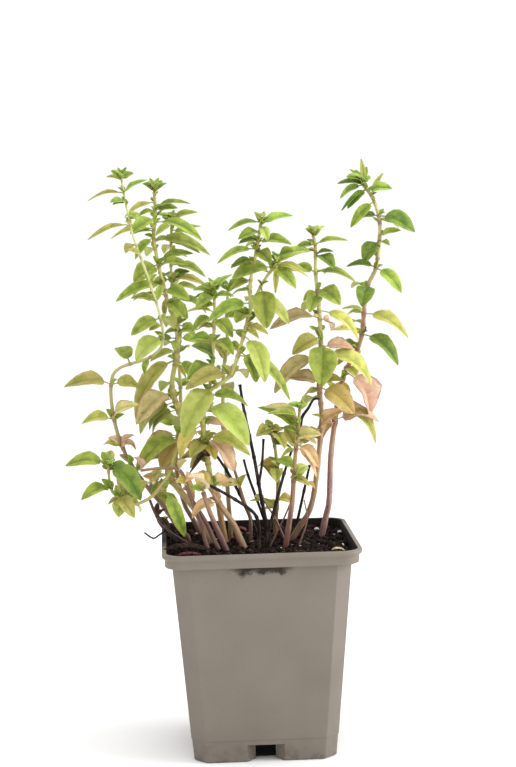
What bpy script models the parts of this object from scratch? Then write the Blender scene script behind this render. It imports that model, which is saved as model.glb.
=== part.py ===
"""Potted oregano: a square nursery pot, its soil and the leafy and dead stems standing in it.

Metres, +Z up, front towards -Y, origin at the middle of the pot's underside.
Plant routes and leaf reaches are written in millimetres and scaled by MM where they are used.
"""
import math
import random
from dataclasses import dataclass, field

import bmesh
import bpy
import numpy as np
from mathutils import Matrix, Vector, noise

MM = 0.001

# Pot, in metres
POT_HEIGHT = 0.100
RIM_HALF = 0.0460
RIM_CORNER = 0.009
LIP_HEIGHT = 0.0017
LIP_PROUD = 0.0013
LIP_EASE = 0.0003
BAND_HEIGHT = 0.0065
BAND_EASE = 0.0002
BODY_TOP_HALF = 0.0414
BODY_FOOT_HALF = 0.0337
CHAMFER_TOP = 0.0072
CHAMFER_FOOT = 0.0062
WALL = 0.0012
FLOOR = 0.0015
FOOT_STEP_HEIGHT = 0.0105
FOOT_STEP = 0.0003
NOTCH_MOUTH = 0.0175
NOTCH_BACK = 0.0102
NOTCH_DEPTH = 0.0050
NOTCH_HEIGHT = 0.0080
DRAIN_WIDTH = 0.0096
DRAIN_HEIGHT = 0.0072
DRAIN_REACH = 0.006

# Soil, in metres
GAP = 0.0003
SOIL_LEVEL = 0.0958
SOIL_RELIEF = 0.0011
SOIL_GRAIN = 0.009
SOIL_FINER = 2.3
SOIL_NOISE_PLANES = (0.5, 4.5)
SOIL_CELLS = 11
SOIL_OVER_SHOULDER = POT_HEIGHT - BAND_HEIGHT + WALL + GAP

# How far cutters and lofts run past what they meet, in metres
CUTTER_REACH = 0.004
OVER = 0.002
SOIL_OVER = 0.001
SOIL_TAPER = 0.0001
RELIEF_TOP = 0.01
HOLE_DEPTH = 0.03
WELD = 0.000001

# Plant, in millimetres
HOLE_SIDES = 6
STEM_STEP = 6.5
NODE_SEARCH_STEP = 1.0
CROWD_STEP = 1.5
SEED = 11

# Leaf blades, in millimetres, from the oldest low leaves to the young ones at the tips
OLD_HEIGHT, YOUNG_HEIGHT = 150.0, 268.0
OLD_LENGTH, YOUNG_LENGTH = 20.0, 11.0
OLD_ARCH, YOUNG_ARCH = 0.22, 0.13
ARCH_LEAN = 0.8
LENGTH_PER_BREADTH = 1.9
DEPTH_SHARE = 0.8
SMALLEST_ACROSS = 0.2
SPARE_FACING = Vector((0.3, -1.0, 0.2))
SAMPLE_STEP = 2.2
SAMPLE_PLACES = (-1, -0.5, 0, 0.5, 1)
BREADTH_SCALE = 0.92
OUTLINE_LEAN = 0.7
OUTLINE_FULLNESS = 0.62
BLADE_THICKNESS = 1.2
SHORT_LEAF, MIDDLE_LEAF = 9.0, 14.0
SHORT_STATIONS = (0.0, 0.42, 1.0)
MIDDLE_STATIONS = (0.0, 0.16, 0.50, 1.0)
LONG_STATIONS = (0.0, 0.15, 0.36, 0.68, 1.0)
PETIOLE_HALF = 0.45
PETIOLE_SHARE = 0.16
ROOT_PAST_AXIS = 0.25
FOLD = math.radians(16)
LEAF_FACING = Vector((0.0, -0.62, 0.78))
FACING_SPREAD = 0.2

# Rosettes at the tips and the pairs that point to the back, lengths in millimetres
ROSETTE_LEAVES = 5
ROSETTE_BREADTH = 0.8
ROSETTE_LENGTHS = (0.75, 1.0)
ROSETTE_START = 0.3
ROSETTE_SWING = 0.2
ROSETTE_RISE = (25, 60)
ROSETTE_SINK = 0.6
BACK_LENGTHS = (17.0, 12.0)
BACK_SPREAD = (0.8, 1.05)
BACK_BREADTH = 0.55
BACK_TURN = 0.6
BACK_FALL = (-15, 25)
BACK_START = (2, 6)
BACK_STEP = (14, 19)
BACK_FACING = Vector((0.0, 0.1, 1.0))

# Clear space round leaves and stems, in millimetres
LEAF_CLEARANCE = 1.9
OWN_CLEARANCE = 1.3
OWN_FROM = 0.4
STEM_CLEARANCE = 1.3
RIM_GUARD_HEIGHT = 101.5
RIM_GUARD_HALF = 48.0
DEPTH_SHIFTS = (0, 3, -3, 6, -6, 9, -9, 13, -13)

# Surfaces: linear colours, roughness and the angles above which edges stay sharp
POT_COLOUR, POT_ROUGHNESS = (0.270, 0.235, 0.195), 0.55
SOIL_COLOUR, SOIL_ROUGHNESS = (0.022, 0.015, 0.011), 0.95
LEAF_COLOUR, LEAF_ROUGHNESS = (0.300, 0.420, 0.070), 0.6
DEAD_COLOUR, DEAD_ROUGHNESS = (0.030, 0.020, 0.016), 0.8
POT_EDGE = math.radians(30)
STALK_EDGE = math.radians(50)


@dataclass
class Shoot:
    """A stem or side shoot: its route, its radii and the leaves on it, in millimetres.

    Each leaf is (height of its node, reach of its tip in X, Y and Z from the node, breadth).
    rosette is the length of the leaves round the tip, back the heights between which
    leaves point to the back.
    """

    route: list
    foot_radius: float
    tip_radius: float
    leaves: list = field(default_factory=list)
    rosette: float = 0.0
    back: tuple = ()

    def radius(self, share):
        """Radius at a share of the way from foot to tip."""
        return self.foot_radius + (self.tip_radius - self.foot_radius) * share


PLANT = {
    "far_left_stem": [
        Shoot([(-33, 12, 84), (-33, 12, 97), (-37, 11, 102), (-41, 10, 108), (-47, 9, 117), (-53, 8, 125),
               (-62, 7, 140), (-67, 5, 157), (-68, 3, 174), (-64, 2, 182), (-49, 2, 187), (-43, 1, 194),
               (-44, -1, 207), (-49, -3, 225), (-55, -5, 243), (-58, -7, 258), (-60, -8, 271)], 1.3, 0.45,
              [(266, -17, 3, -3, 5), (266, 11, -3, 6, 6), (259, -7, -5, 1, 6), (252, -20, -2, -6, 6),
               (251, 4, 6, 4, 6), (234, -6, -3, 4, 5), (213, -12, 4, 2, 6), (205, -14, -3, -7, 8),
               (196, -13, -7, -10, 11), (184, -6, 3, 7, 9), (174, -22, -3, 0, 10), (174, 14, 4, -3, 9),
               (157, -16, 4, -2, 8), (157, 12, -4, 11, 9), (144, -7, 3, 4, 5), (144, 6, -3, 6, 5),
               (136, -5, -5, -13, 8), (128, -5, -6, -10, 10), (121, 13, -8, -13, 9)],
              rosette=7.0, back=(200, 262)),
    ],
    "tall_left_stem": [
        Shoot([(-23, 6, 84), (-23, 6, 97), (-26, 7, 104), (-30, 8, 113), (-40, 10, 126), (-42, 10, 132),
               (-35, 12, 146), (-34, 12, 153), (-39, 14, 170), (-37, 16, 184), (-35, 17, 196),
               (-36, 17, 201), (-40, 18, 212), (-44, 20, 230), (-46, 22, 243), (-45, 23, 252),
               (-45, 24, 266)], 1.6, 0.6,
              [(262, 17, -3, 1, 6), (262, -15, 3, -7, 6), (256, 11, -5, 1, 6), (252, -12, -8, -7, 8),
               (247, -21, 5, -4, 6), (250, 22, -7, -8, 9), (243, -9, -3, -10, 6), (242, 27, 4, -8, 9),
               (230, -12, -5, -6, 8), (230, 17, 6, 5, 7), (229, 14, -6, 1, 7), (220, -23, -3, -7, 8),
               (220, -15, 6, -5, 7), (218, 12, -4, -5, 8), (212, 8, -6, -7, 8), (201, 9, 4, -8, 8),
               (196, 9, -3, 3, 7), (184, -20, -10, -28, 11), (184, -15, 3, -16, 9), (184, 7, 5, -12, 9),
               (168, -18, -5, -13, 13), (164, -13, 6, -14, 11), (160, -13, 5, -12, 11),
               (147, -23, -5, -15, 11), (147, -11, -11, -14, 11), (147, -20, 6, -9, 9)],
              rosette=8.0, back=(150, 258)),
        Shoot([(-35, 12, 146), (-38, 3, 141), (-41, -4, 133), (-46, -8, 126), (-52, -10, 121),
               (-59, -11, 119), (-65, -12, 122), (-69, -12, 127), (-70, -13, 138)], 1.0, 0.6,
              [(138, -20, 2, 0, 9), (138, 15, -6, -16, 12), (135, 1, 3, 9, 7), (126, -14, -6, -7, 9),
               (123, 8, -7, -9, 8), (120, -2, -6, -10, 8), (120, 6, 5, -6, 7), (121, 12, 4, 8, 8)],
              rosette=6.0),
        Shoot([(-46, -8, 126), (-44, -9, 125)], 0.7, 0.5, [(125, 9, -4, -22, 7)]),
    ],
    "left_back_stem": [
        Shoot([(-27, 22, 84), (-27, 22, 97), (-30, 23, 104), (-35, 25, 114), (-38, 28, 134), (-35, 32, 163),
               (-36, 36, 193), (-37, 39, 212), (-38, 41, 229), (-37, 44, 251)], 1.2, 0.5,
              [(251, 13, 3, 4, 5), (251, -6, -3, 3, 5), (242, 15, 5, 6, 6), (242, -10, 4, -3, 6),
               (229, 17, 3, -6, 7), (222, -11, 6, -5, 7), (212, 16, 5, -7, 8), (193, 14, 4, -6, 8),
               (193, -13, 6, -6, 8), (149, -14, 4, 5, 9), (134, 1, -4, 10, 8)],
              rosette=6.0, back=(150, 246)),
    ],
    "forked_stem": [
        Shoot([(-16, 2, 84), (-16, 2, 97), (-17, 1, 106), (-19, 0, 119), (-22, -1, 129), (-24, -4, 146),
               (-25, -8, 159), (-22, -12, 171), (-12, -14, 179), (-6, -16, 195), (-2, -18, 209),
               (4, -20, 222), (11, -22, 231)], 1.5, 0.6,
              [(231, 7, -3, 5, 9), (231, 15, 6, 5, 7), (228, 10, -6, -9, 8), (227, 17, 4, -1, 7),
               (228, -19, -5, -4, 11), (218, 2, -7, -17, 11), (214, 16, 5, -12, 9),
               (212, -21, 4, -8, 9), (205, -6, -7, -1, 9), (193, 9, -8, -18, 10), (191, 24, 4, -19, 8),
               (179, -21, -3, -6, 10), (179, 8, 3, -3, 9), (174, -16, -9, -23, 14), (168, 20, 6, 0, 7),
               (165, 20, -8, -19, 14), (159, -3, 4, -9, 6), (148, 21, -4, -8, 10), (145, 4, -6, -6, 7),
               (148, -4, 5, -5, 6), (148, 13, -6, -20, 12), (144, -8, -4, -3, 9), (136, -15, 5, 0, 9)],
              rosette=6.0, back=(140, 215)),
        Shoot([(-2, -18, 209), (-2, -22, 222), (1, -26, 237), (3, -30, 249)], 0.8, 0.6,
              [(249, -15, -3, -3, 5), (248, 15, 3, 4, 6), (245, -10, -6, -3, 6), (237, -18, 3, -6, 6),
               (236, 6, -6, -5, 8), (230, -10, 4, 0, 6)],
              rosette=6.5),
        Shoot([(-22, -12, 171), (-20, -6, 182), (-19, -1, 194), (-18, 2, 206), (-18, 4, 218)], 0.8, 0.6,
              [(216, -10, 4, 2, 6), (215, -9, -4, -5, 7), (217, 9, 3, 8, 4), (214, 9, -5, 1, 5),
               (205, -11, 3, -7, 7), (204, 8, -5, -8, 8), (194, -12, 5, 0, 7), (194, 9, -6, -6, 8),
               (185, -10, -4, 8, 9), (183, -12, -4, -6, 9)],
              rosette=7.0),
    ],
    "mid_thin_stem": [
        Shoot([(-12, 14, 84), (-12, 14, 97), (-13, 13, 110), (-14, 12, 131), (-15, 12, 155), (-14, 13, 179),
               (-12, 14, 191), (-12, 15, 203), (-11, 15, 217)], 1.1, 0.6,
              [(217, 7, -3, 5, 6), (217, -6, 3, 4, 6), (204, 8, 4, 2, 7), (191, -7, 4, -2, 6),
               (191, 6, -3, -3, 6), (184, -15, 3, 10, 8), (179, -6, 3, -5, 7)],
              rosette=5.0, back=(150, 210)),
    ],
    "mid_right_stem": [
        Shoot([(18, 6, 84), (18, 6, 97), (20, 6, 102), (25, 5, 110), (28, 4, 121), (31, 3, 144),
               (32, 3, 156), (31, 2, 173), (32, 1, 193), (31, 0, 214), (30, -1, 225), (30, -2, 238),
               (29, -2, 243)], 1.5, 0.6,
              [(238, -10, 3, -2, 5), (238, 15, -3, 2, 4), (233, 8, -5, -6, 9), (225, 19, -2, -5, 7),
               (225, -11, 4, 2, 7), (214, -5, -6, -7, 8), (214, 10, -5, -7, 10), (207, 19, 4, -15, 9),
               (203, -24, -2, -4, 9), (203, 6, 3, -6, 7), (189, 17, 6, -2, 8), (194, -14, -5, -7, 10),
               (192, -1, -9, -20, 15), (188, 25, 5, -17, 11), (186, -22, 4, -18, 10), (172, -15, -3, 3, 9),
               (172, 12, 5, 1, 6), (168, 10, -5, -13, 12), (168, -7, 5, -3, 6), (150, 11, -3, 10, 8),
               (145, -9, 3, -4, 8)],
              rosette=6.0, back=(160, 230)),
    ],
    "right_tall_stem": [
        Shoot([(32, 14, 84), (32, 14, 97), (34, 15, 105), (36, 15, 114), (37, 15, 133), (39, 16, 149),
               (42, 17, 165), (45, 17, 176), (53, 17, 192), (56, 18, 215), (61, 19, 226), (63, 19, 239),
               (63, 19, 250), (61, 20, 260), (57, 20, 268)], 1.5, 0.6,
              [(263, 11, -4, 1, 8), (264, -10, -4, -9, 7), (266, -11, 5, -6, 6), (256, -11, -3, -11, 8),
               (251, 17, -3, -8, 12), (251, -10, 6, -2, 6), (249, 10, 5, -4, 6), (239, -8, -4, -10, 10),
               (238, 4, -4, -1, 5), (226, -14, 3, 1, 6), (226, 8, -3, -11, 9), (218, -4, -8, -10, 10),
               (204, 21, -3, -12, 10), (204, -8, 3, -1, 6), (192, 17, -4, -15, 11), (187, -9, 6, 0, 8),
               (182, 18, 6, -21, 14), (160, 19, 3, 3, 11), (159, 14, -4, -16, 9),
               (268, -8, -4, 3, 7), (268, 3, 4, 8, 4)],
              rosette=8.0, back=(160, 255)),
    ],
    "red_stem": [
        Shoot([(13, -6, 84), (13, -6, 97), (14, -8, 104), (16, -10, 117), (17, -12, 130), (18, -14, 143),
               (19, -16, 153), (20, -18, 163)], 1.4, 0.6,
              [(155, -16, -3, 9, 9), (151, -18, 5, 12, 7), (146, 11, -4, 5, 9), (145, 10, -5, -10, 7),
               (143, -5, -3, 11, 7), (133, -8, 3, 4, 7), (130, 7, 4, 4, 6), (128, 7, -4, -2, 5)],
              rosette=5.0),
    ],
    "small_centre_stem": [
        Shoot([(8, 16, 84), (8, 16, 97), (10, 15, 108), (11, 13, 123), (10, 11, 139), (8, 10, 149)],
              1.1, 0.6,
              [(149, 5, -3, 1, 5), (148, -8, -4, 0, 8), (147, 5, -5, -5, 9), (145, -5, 4, 6, 5),
               (132, -9, 3, -1, 6), (130, -1, -4, -5, 7)],
              rosette=4.5),
    ],
    "beige_stem": [
        Shoot([(-8, -10, 84), (-8, -10, 97), (-9, -10, 101), (-12, -9, 108), (-19, -9, 119),
               (-24, -10, 130)], 1.6, 1.1,
              [(118, -13, -6, -7, 9), (125, -8, 3, -1, 6)]),
    ],
    "purple_stem": [
        Shoot([(-18, -16, 84), (-18, -16, 97), (-19, -17, 105), (-23, -18, 115), (-26, -19, 125)],
              1.4, 0.9, [(125, -7, -3, 9, 9), (124, 0, 3, 10, 8)]),
    ],
    "outer_left_stem": [
        Shoot([(-34, 22, 84), (-34, 22, 96), (-37, 21, 102), (-42, 20, 108), (-46, 18, 116),
               (-51, 16, 124)], 1.3, 0.8, [(123, -4, -3, 6, 7), (122, 4, 3, 8, 7),
                                                (120, 3, -4, 8, 8)]),
    ],
    "dry_twig": [
        Shoot([(-34, -2, 84), (-34, -2, 97), (-37, -2, 100), (-42, -3, 104), (-48, -5, 112),
               (-51, -7, 120)], 0.8, 0.6, [(115, -6, -3, 2, 5), (109, 4, -4, -3, 5)]),
    ],
}

DEAD = {
    "dead_stem_tall": [
        Shoot([(3, 4, 84), (3, 4, 97), (4, 3, 107), (1, 2, 125), (-1, 2, 138), (-5, 1, 159), (-7, 0, 173)],
              1.2, 0.8),
        Shoot([(1, 2, 124), (3, 4, 135), (4, 6, 146)], 0.8, 0.7),
    ],
    "dead_stem_right": [
        Shoot([(9, 2, 84), (9, 2, 97), (9, -1, 116), (13, -2, 130), (17, -4, 142)], 1.1, 0.7),
    ],
    "dead_stem_far_right": [
        Shoot([(19, 22, 84), (19, 22, 97), (24, 19, 118), (27, 18, 131)], 0.9, 0.7),
    ],
    "dead_stem_low": [
        Shoot([(0, -8, 84), (0, -8, 97), (-1, -10, 111), (-11, -12, 120), (-26, -13, 129)], 1.1, 0.8),
    ],
    "dead_stem_crossing": [
        Shoot([(-4, 16, 84), (-4, 16, 97), (-3, 13, 107), (-8, 11, 119), (-14, 7, 131), (-21, 5, 142)],
              1.0, 0.7),
    ],
    "dead_stem_short": [
        Shoot([(-2, 26, 84), (-2, 26, 97), (1, 24, 114), (-3, 23, 126), (-5, 22, 134)], 0.9, 0.7),
    ],
}


def clear_scene():
    """Take every object out of the scene."""
    for old in list(bpy.data.objects):
        bpy.data.objects.remove(old, do_unlink=True)


def make_collection(name):
    """Add a collection under the scene's own."""
    collection = bpy.data.collections.new(name)
    bpy.context.scene.collection.children.link(collection)
    return collection


def make_material(name, colour, roughness):
    """A Principled BSDF with one colour and roughness."""
    material = bpy.data.materials.new(name)
    material.use_nodes = True
    shader = material.node_tree.nodes["Principled BSDF"]
    shader.inputs["Base Color"].default_value = (*colour, 1.0)
    shader.inputs["Roughness"].default_value = roughness
    return material


def object_from_bmesh(bm, name, collection):
    """Turn a bmesh into an object in the collection, faces pointing out."""
    bmesh.ops.recalc_face_normals(bm, faces=bm.faces)
    mesh = bpy.data.meshes.new(name)
    bm.to_mesh(mesh)
    bm.free()
    made = bpy.data.objects.new(name, mesh)
    collection.objects.link(made)
    return made


def as_cutter(made):
    """Mark an object as a tool that is not part of the model."""
    made.hide_render = True
    made.display_type = 'WIRE'
    return made


def octagon(half, chamfer, z):
    """Corners of a square with cut corners, anticlockwise from the front right."""
    flat = half - chamfer
    pairs = [(flat, -half), (half, -flat), (half, flat), (flat, half),
             (-flat, half), (-half, flat), (-half, -flat), (-flat, -half)]
    return [Vector((x, y, z)) for x, y in pairs]


def rounded_square(half, radius, z, steps=5):
    """Corners of a square with round corners, anticlockwise from the front right."""
    points = []
    for quarter in range(4):
        turn = Matrix.Rotation(quarter * math.pi / 2, 4, 'Z')
        for step in range(steps + 1):
            angle = -math.pi / 2 + step * math.pi / 2 / steps
            corner = Vector((half - radius + radius * math.cos(angle),
                             -half + radius + radius * math.sin(angle), z))
            points.append(turn @ corner)
    return points


def loft(rings, name, collection):
    """A closed solid through rings that have the same number of corners."""
    bm = bmesh.new()
    loops = [[bm.verts.new(point) for point in ring] for ring in rings]
    count = len(loops[0])
    for low, high in zip(loops, loops[1:]):
        for i in range(count):
            j = (i + 1) % count
            bm.faces.new((low[i], low[j], high[j], high[i]))
    bm.faces.new(reversed(loops[0]))
    bm.faces.new(loops[-1])
    return object_from_bmesh(bm, name, collection)


def wedge(wall, name, collection):
    """The space of the front foot notch, splayed outwards, grown by a wall's thickness."""
    face = -BODY_FOOT_HALF
    outside = face - CUTTER_REACH
    mouth, back = NOTCH_MOUTH / 2 + wall, NOTCH_BACK / 2 + wall
    depth = face + NOTCH_DEPTH + wall
    outline = [(-mouth, outside), (mouth, outside), (mouth, face),
               (back, depth), (-back, depth), (-mouth, face)]
    rings = [[Vector((x, y, z)) for x, y in outline] for z in (-CUTTER_REACH, NOTCH_HEIGHT + wall)]
    return loft(rings, name, collection)


def turned_copies(made, collection):
    """Copies of a front cutter for the other three sides."""
    for quarter in range(1, 4):
        mesh = made.data.copy()
        mesh.transform(Matrix.Rotation(quarter * math.pi / 2, 4, 'Z'))
        copy = bpy.data.objects.new(f"{made.name}_{quarter}", mesh)
        collection.objects.link(copy)
        as_cutter(copy)


def boolean(made, operation, tool=None, group=None, solver='EXACT'):
    """Add a Boolean modifier with an object or a whole collection."""
    modifier = made.modifiers.new(operation.lower(), 'BOOLEAN')
    modifier.operation = operation
    modifier.solver = solver
    if group is not None:
        modifier.operand_type = 'COLLECTION'
        modifier.collection = group
    else:
        modifier.object = tool
    return modifier


def apply_modifiers(made):
    """Put the evaluated mesh in place of the object's own and drop its modifiers."""
    graph = bpy.context.evaluated_depsgraph_get()
    mesh = bpy.data.meshes.new_from_object(made.evaluated_get(graph))
    made.modifiers.clear()
    made.data = mesh


def keep_main_body(made):
    """Drop loose scraps and fill sealed hollows: only the largest connected surface stays."""
    bm = bmesh.new()
    bm.from_mesh(made.data)
    unseen = set(bm.faces)
    islands = []
    while unseen:
        island = {unseen.pop()}
        edge_of_island = list(island)
        while edge_of_island:
            face = edge_of_island.pop()
            near = {other for edge in face.edges for other in edge.link_faces} - island
            island |= near
            unseen -= near
            edge_of_island += near
        islands.append(island)
    largest = max(islands, key=len)
    scraps = [face for island in islands if island is not largest for face in island]
    bmesh.ops.delete(bm, geom=scraps, context='FACES')
    bm.to_mesh(made.data)
    bm.free()


def body_half(z):
    """Half the pot body's outer width at height z."""
    return BODY_FOOT_HALF + (BODY_TOP_HALF - BODY_FOOT_HALF) * z / (POT_HEIGHT - BAND_HEIGHT)


def body_chamfer(z):
    """Corner cut of the pot body at height z."""
    return CHAMFER_FOOT + (CHAMFER_TOP - CHAMFER_FOOT) * z / (POT_HEIGHT - BAND_HEIGHT)


def inner_octagon(z, inset):
    """Ring inside the pot body, set in from its outer face."""
    half = body_half(z) - inset
    cut = body_chamfer(z) - inset * (2 - math.sqrt(2))
    return octagon(half, cut, z)


def build_pot(collection, cutters):
    """The pot: tapered body with cut corners, round-cornered rim band, four notches that drain."""
    shoulder = POT_HEIGHT - BAND_HEIGHT
    step = FOOT_STEP_HEIGHT
    pot = loft([octagon(body_half(0) - FOOT_STEP, CHAMFER_FOOT, 0),
                octagon(body_half(step) - FOOT_STEP, body_chamfer(step), step - FOOT_STEP),
                octagon(body_half(step), body_chamfer(step), step),
                octagon(BODY_TOP_HALF, CHAMFER_TOP, shoulder + WALL / 2)], "pot", collection)

    band_half = RIM_HALF - LIP_PROUD
    lip = POT_HEIGHT - LIP_HEIGHT
    band = loft([rounded_square(band_half - BAND_EASE, RIM_CORNER, shoulder),
                 rounded_square(band_half, RIM_CORNER, lip - LIP_PROUD),
                 rounded_square(RIM_HALF, RIM_CORNER, lip),
                 rounded_square(RIM_HALF, RIM_CORNER, POT_HEIGHT - LIP_EASE),
                 rounded_square(RIM_HALF - LIP_EASE, RIM_CORNER, POT_HEIGHT)], "pot_band", cutters)
    boolean(pot, 'UNION', as_cutter(band))

    notches = make_collection("notch_cutters")
    notch = as_cutter(wedge(0.0, "notch", notches))
    turned_copies(notch, notches)
    boolean(pot, 'DIFFERENCE', group=notches)

    inner_half = band_half - WALL
    inner_corner = RIM_CORNER - WALL
    cavity = loft([inner_octagon(FLOOR, WALL), inner_octagon(shoulder + OVER, WALL)], "cavity", cutters)
    mouth = loft([rounded_square(inner_half, inner_corner, shoulder + WALL),
                  rounded_square(inner_half, inner_corner, POT_HEIGHT + OVER)], "cavity_mouth", cutters)
    boolean(cavity, 'UNION', as_cutter(mouth))
    walls = make_collection("notch_walls")
    wall = as_cutter(wedge(WALL, "notch_wall", walls))
    turned_copies(wall, walls)
    boolean(cavity, 'DIFFERENCE', group=walls)
    boolean(pot, 'DIFFERENCE', as_cutter(cavity))

    drains = make_collection("drain_cutters")
    bm = bmesh.new()
    bmesh.ops.create_cube(bm, size=1.0)
    bmesh.ops.scale(bm, verts=bm.verts, vec=(DRAIN_WIDTH, DRAIN_REACH, DRAIN_HEIGHT + CUTTER_REACH))
    centre = Vector((0, -BODY_FOOT_HALF + NOTCH_DEPTH + WALL / 2, (DRAIN_HEIGHT - CUTTER_REACH) / 2))
    bmesh.ops.translate(bm, verts=bm.verts, vec=centre)
    drain = as_cutter(object_from_bmesh(bm, "drain", drains))
    turned_copies(drain, drains)
    boolean(pot, 'DIFFERENCE', group=drains)
    apply_modifiers(pot)
    pot.data.materials.append(make_material("moulded_polypropylene", POT_COLOUR, POT_ROUGHNESS))
    pot.data.shade_smooth()
    pot.data.set_sharp_from_angle(angle=POT_EDGE)
    return pot


def soil_height(x, y):
    """Height of the soil's surface, from two scales of noise."""
    x, y = x / SOIL_GRAIN, y / SOIL_GRAIN
    coarse = noise.noise(Vector((x, y, SOIL_NOISE_PLANES[0])))
    fine = noise.noise(Vector((x * SOIL_FINER, y * SOIL_FINER, SOIL_NOISE_PLANES[1])))
    return SOIL_LEVEL + SOIL_RELIEF * (coarse + 0.5 * fine)


def build_soil(collection, cutters, shoots):
    """The root ball: it fills the pot with a small gap and has a plain hole for each stem."""
    shoulder = POT_HEIGHT - BAND_HEIGHT
    inset = WALL + GAP
    soil = loft([inner_octagon(FLOOR + GAP, inset), inner_octagon(shoulder + SOIL_OVER, inset),
                 inner_octagon(POT_HEIGHT + CUTTER_REACH, inset + SOIL_TAPER)], "soil", collection)
    inner_half = RIM_HALF - LIP_PROUD - WALL - GAP
    inner_corner = RIM_CORNER - WALL - GAP
    top = loft([rounded_square(inner_half, inner_corner, SOIL_OVER_SHOULDER),
                rounded_square(inner_half, inner_corner, POT_HEIGHT + OVER)], "soil_top", cutters)
    boolean(soil, 'UNION', as_cutter(top))

    bm = bmesh.new()
    bmesh.ops.create_grid(bm, x_segments=SOIL_CELLS, y_segments=SOIL_CELLS, size=RIM_HALF + SOIL_OVER)
    for vert in bm.verts:
        vert.co.z = soil_height(vert.co.x, vert.co.y)
    sides = bmesh.ops.extrude_face_region(bm, geom=bm.faces[:])
    lifted = [item for item in sides["geom"] if isinstance(item, bmesh.types.BMVert)]
    for vert in lifted:
        vert.co.z = POT_HEIGHT + RELIEF_TOP
    relief = as_cutter(object_from_bmesh(bm, "soil_relief", cutters))
    boolean(soil, 'DIFFERENCE', relief)

    walls = make_collection("soil_notch_walls")
    wall = as_cutter(wedge(WALL + GAP, "soil_notch_wall", walls))
    turned_copies(wall, walls)
    boolean(soil, 'DIFFERENCE', group=walls)

    holes = make_collection("stem_holes")
    for number, shoot in enumerate(shoots):
        x, y, foot = (value * MM for value in shoot.route[0])
        radius = shoot.foot_radius * MM / math.cos(math.pi / HOLE_SIDES) + GAP
        bm = bmesh.new()
        bmesh.ops.create_cone(bm, cap_ends=True, segments=HOLE_SIDES, radius1=radius, radius2=radius,
                              depth=HOLE_DEPTH)
        bmesh.ops.translate(bm, verts=bm.verts, vec=(x, y, foot - GAP + HOLE_DEPTH / 2))
        as_cutter(object_from_bmesh(bm, f"stem_hole_{number}", holes))
    boolean(soil, 'DIFFERENCE', group=holes)
    apply_modifiers(soil)
    soil.data.materials.append(make_material("peat_soil", SOIL_COLOUR, SOIL_ROUGHNESS))
    return soil


def spline_point(points, place):
    """Point on the Catmull-Rom curve through the route, place counted in route points."""
    last = len(points) - 1
    index = min(int(place), last - 1)
    t = place - index
    p0, p1, p2, p3 = (points[min(max(index + k, 0), last)] for k in (-1, 0, 1, 2))
    return 0.5 * ((2 * p1) + (p2 - p0) * t + (2 * p0 - 5 * p1 + 4 * p2 - p3) * t * t
                  + (3 * p1 - p0 - 3 * p2 + p3) * t * t * t)


def stem_curve(shoot, step):
    """Points about a step apart along the shoot, and how far each lies from foot to tip."""
    points = [Vector(point) for point in shoot.route]
    places = []
    for index in range(len(points) - 1):
        pieces = max(1, round((points[index + 1] - points[index]).length / step))
        places += [index + k / pieces for k in range(pieces)]
    places.append(len(points) - 1)
    return [spline_point(points, place) for place in places], [p / places[-1] for p in places]


def node_on_stem(shoot, height):
    """The point where the shoot last passes a height, or its tip."""
    curve, _ = stem_curve(shoot, NODE_SEARCH_STEP)
    for low, high in zip(reversed(curve[:-1]), reversed(curve)):
        if (low.z - height) * (high.z - height) <= 0 and low.z != high.z:
            return low.lerp(high, (height - low.z) / (high.z - low.z))
    return curve[-1]


@dataclass
class Leaf:
    """One leaf: the node it grows from, the reach of its tip and its breadth, in millimetres."""

    root: Vector
    reach: Vector
    breadth: float
    facing: Vector
    arch: float

    def axes(self):
        """Unit vectors along the leaf, across it and out of its upper face."""
        along = self.reach.normalized()
        across = along.cross(self.facing)
        if across.length < SMALLEST_ACROSS:
            across = along.cross(SPARE_FACING)
        across.normalize()
        return along, across, across.cross(along)

    def middle(self, t):
        """Point on the midrib at t, from 0 at the stem's axis to 1 at the tip."""
        along, _, up = self.axes()
        bow = self.arch * self.reach.length * math.sin(math.pi * t ** ARCH_LEAN)
        return self.root + self.reach * t + up * bow - along * ROOT_PAST_AXIS * (1 - t)

    def half_breadth(self, t):
        """Half the blade's breadth at t: a thin stalk, then an ovate blade."""
        if t <= PETIOLE_SHARE:
            return PETIOLE_HALF
        u = (t - PETIOLE_SHARE) / (1 - PETIOLE_SHARE)
        ovate = math.sin(math.pi * u ** OUTLINE_LEAN) ** OUTLINE_FULLNESS
        return max(PETIOLE_HALF, 0.5 * BREADTH_SCALE * self.breadth * ovate)

    def row(self, t, across_places, lift):
        """Points across the blade at t, lifted out of the middle surface."""
        _, across, up = self.axes()
        centre = self.middle(t)
        half = self.half_breadth(t)
        points = []
        for place in across_places:
            rise = abs(place) * half * math.sin(FOLD) + lift
            points.append(centre + across * (place * half * math.cos(FOLD)) + up * rise)
        return points

    def samples(self):
        """Points all over the blade, for keeping clear of other leaves."""
        steps = max(4, round(self.reach.length / SAMPLE_STEP))
        return [p for k in range(1, steps + 1) for p in self.row(k / steps, SAMPLE_PLACES, 0)]

    def stations(self):
        """Where the blade's cross-sections lie: fewer on a small leaf."""
        length = self.reach.length
        if length < SHORT_LEAF:
            return SHORT_STATIONS
        return MIDDLE_STATIONS if length < MIDDLE_LEAF else LONG_STATIONS


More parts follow.
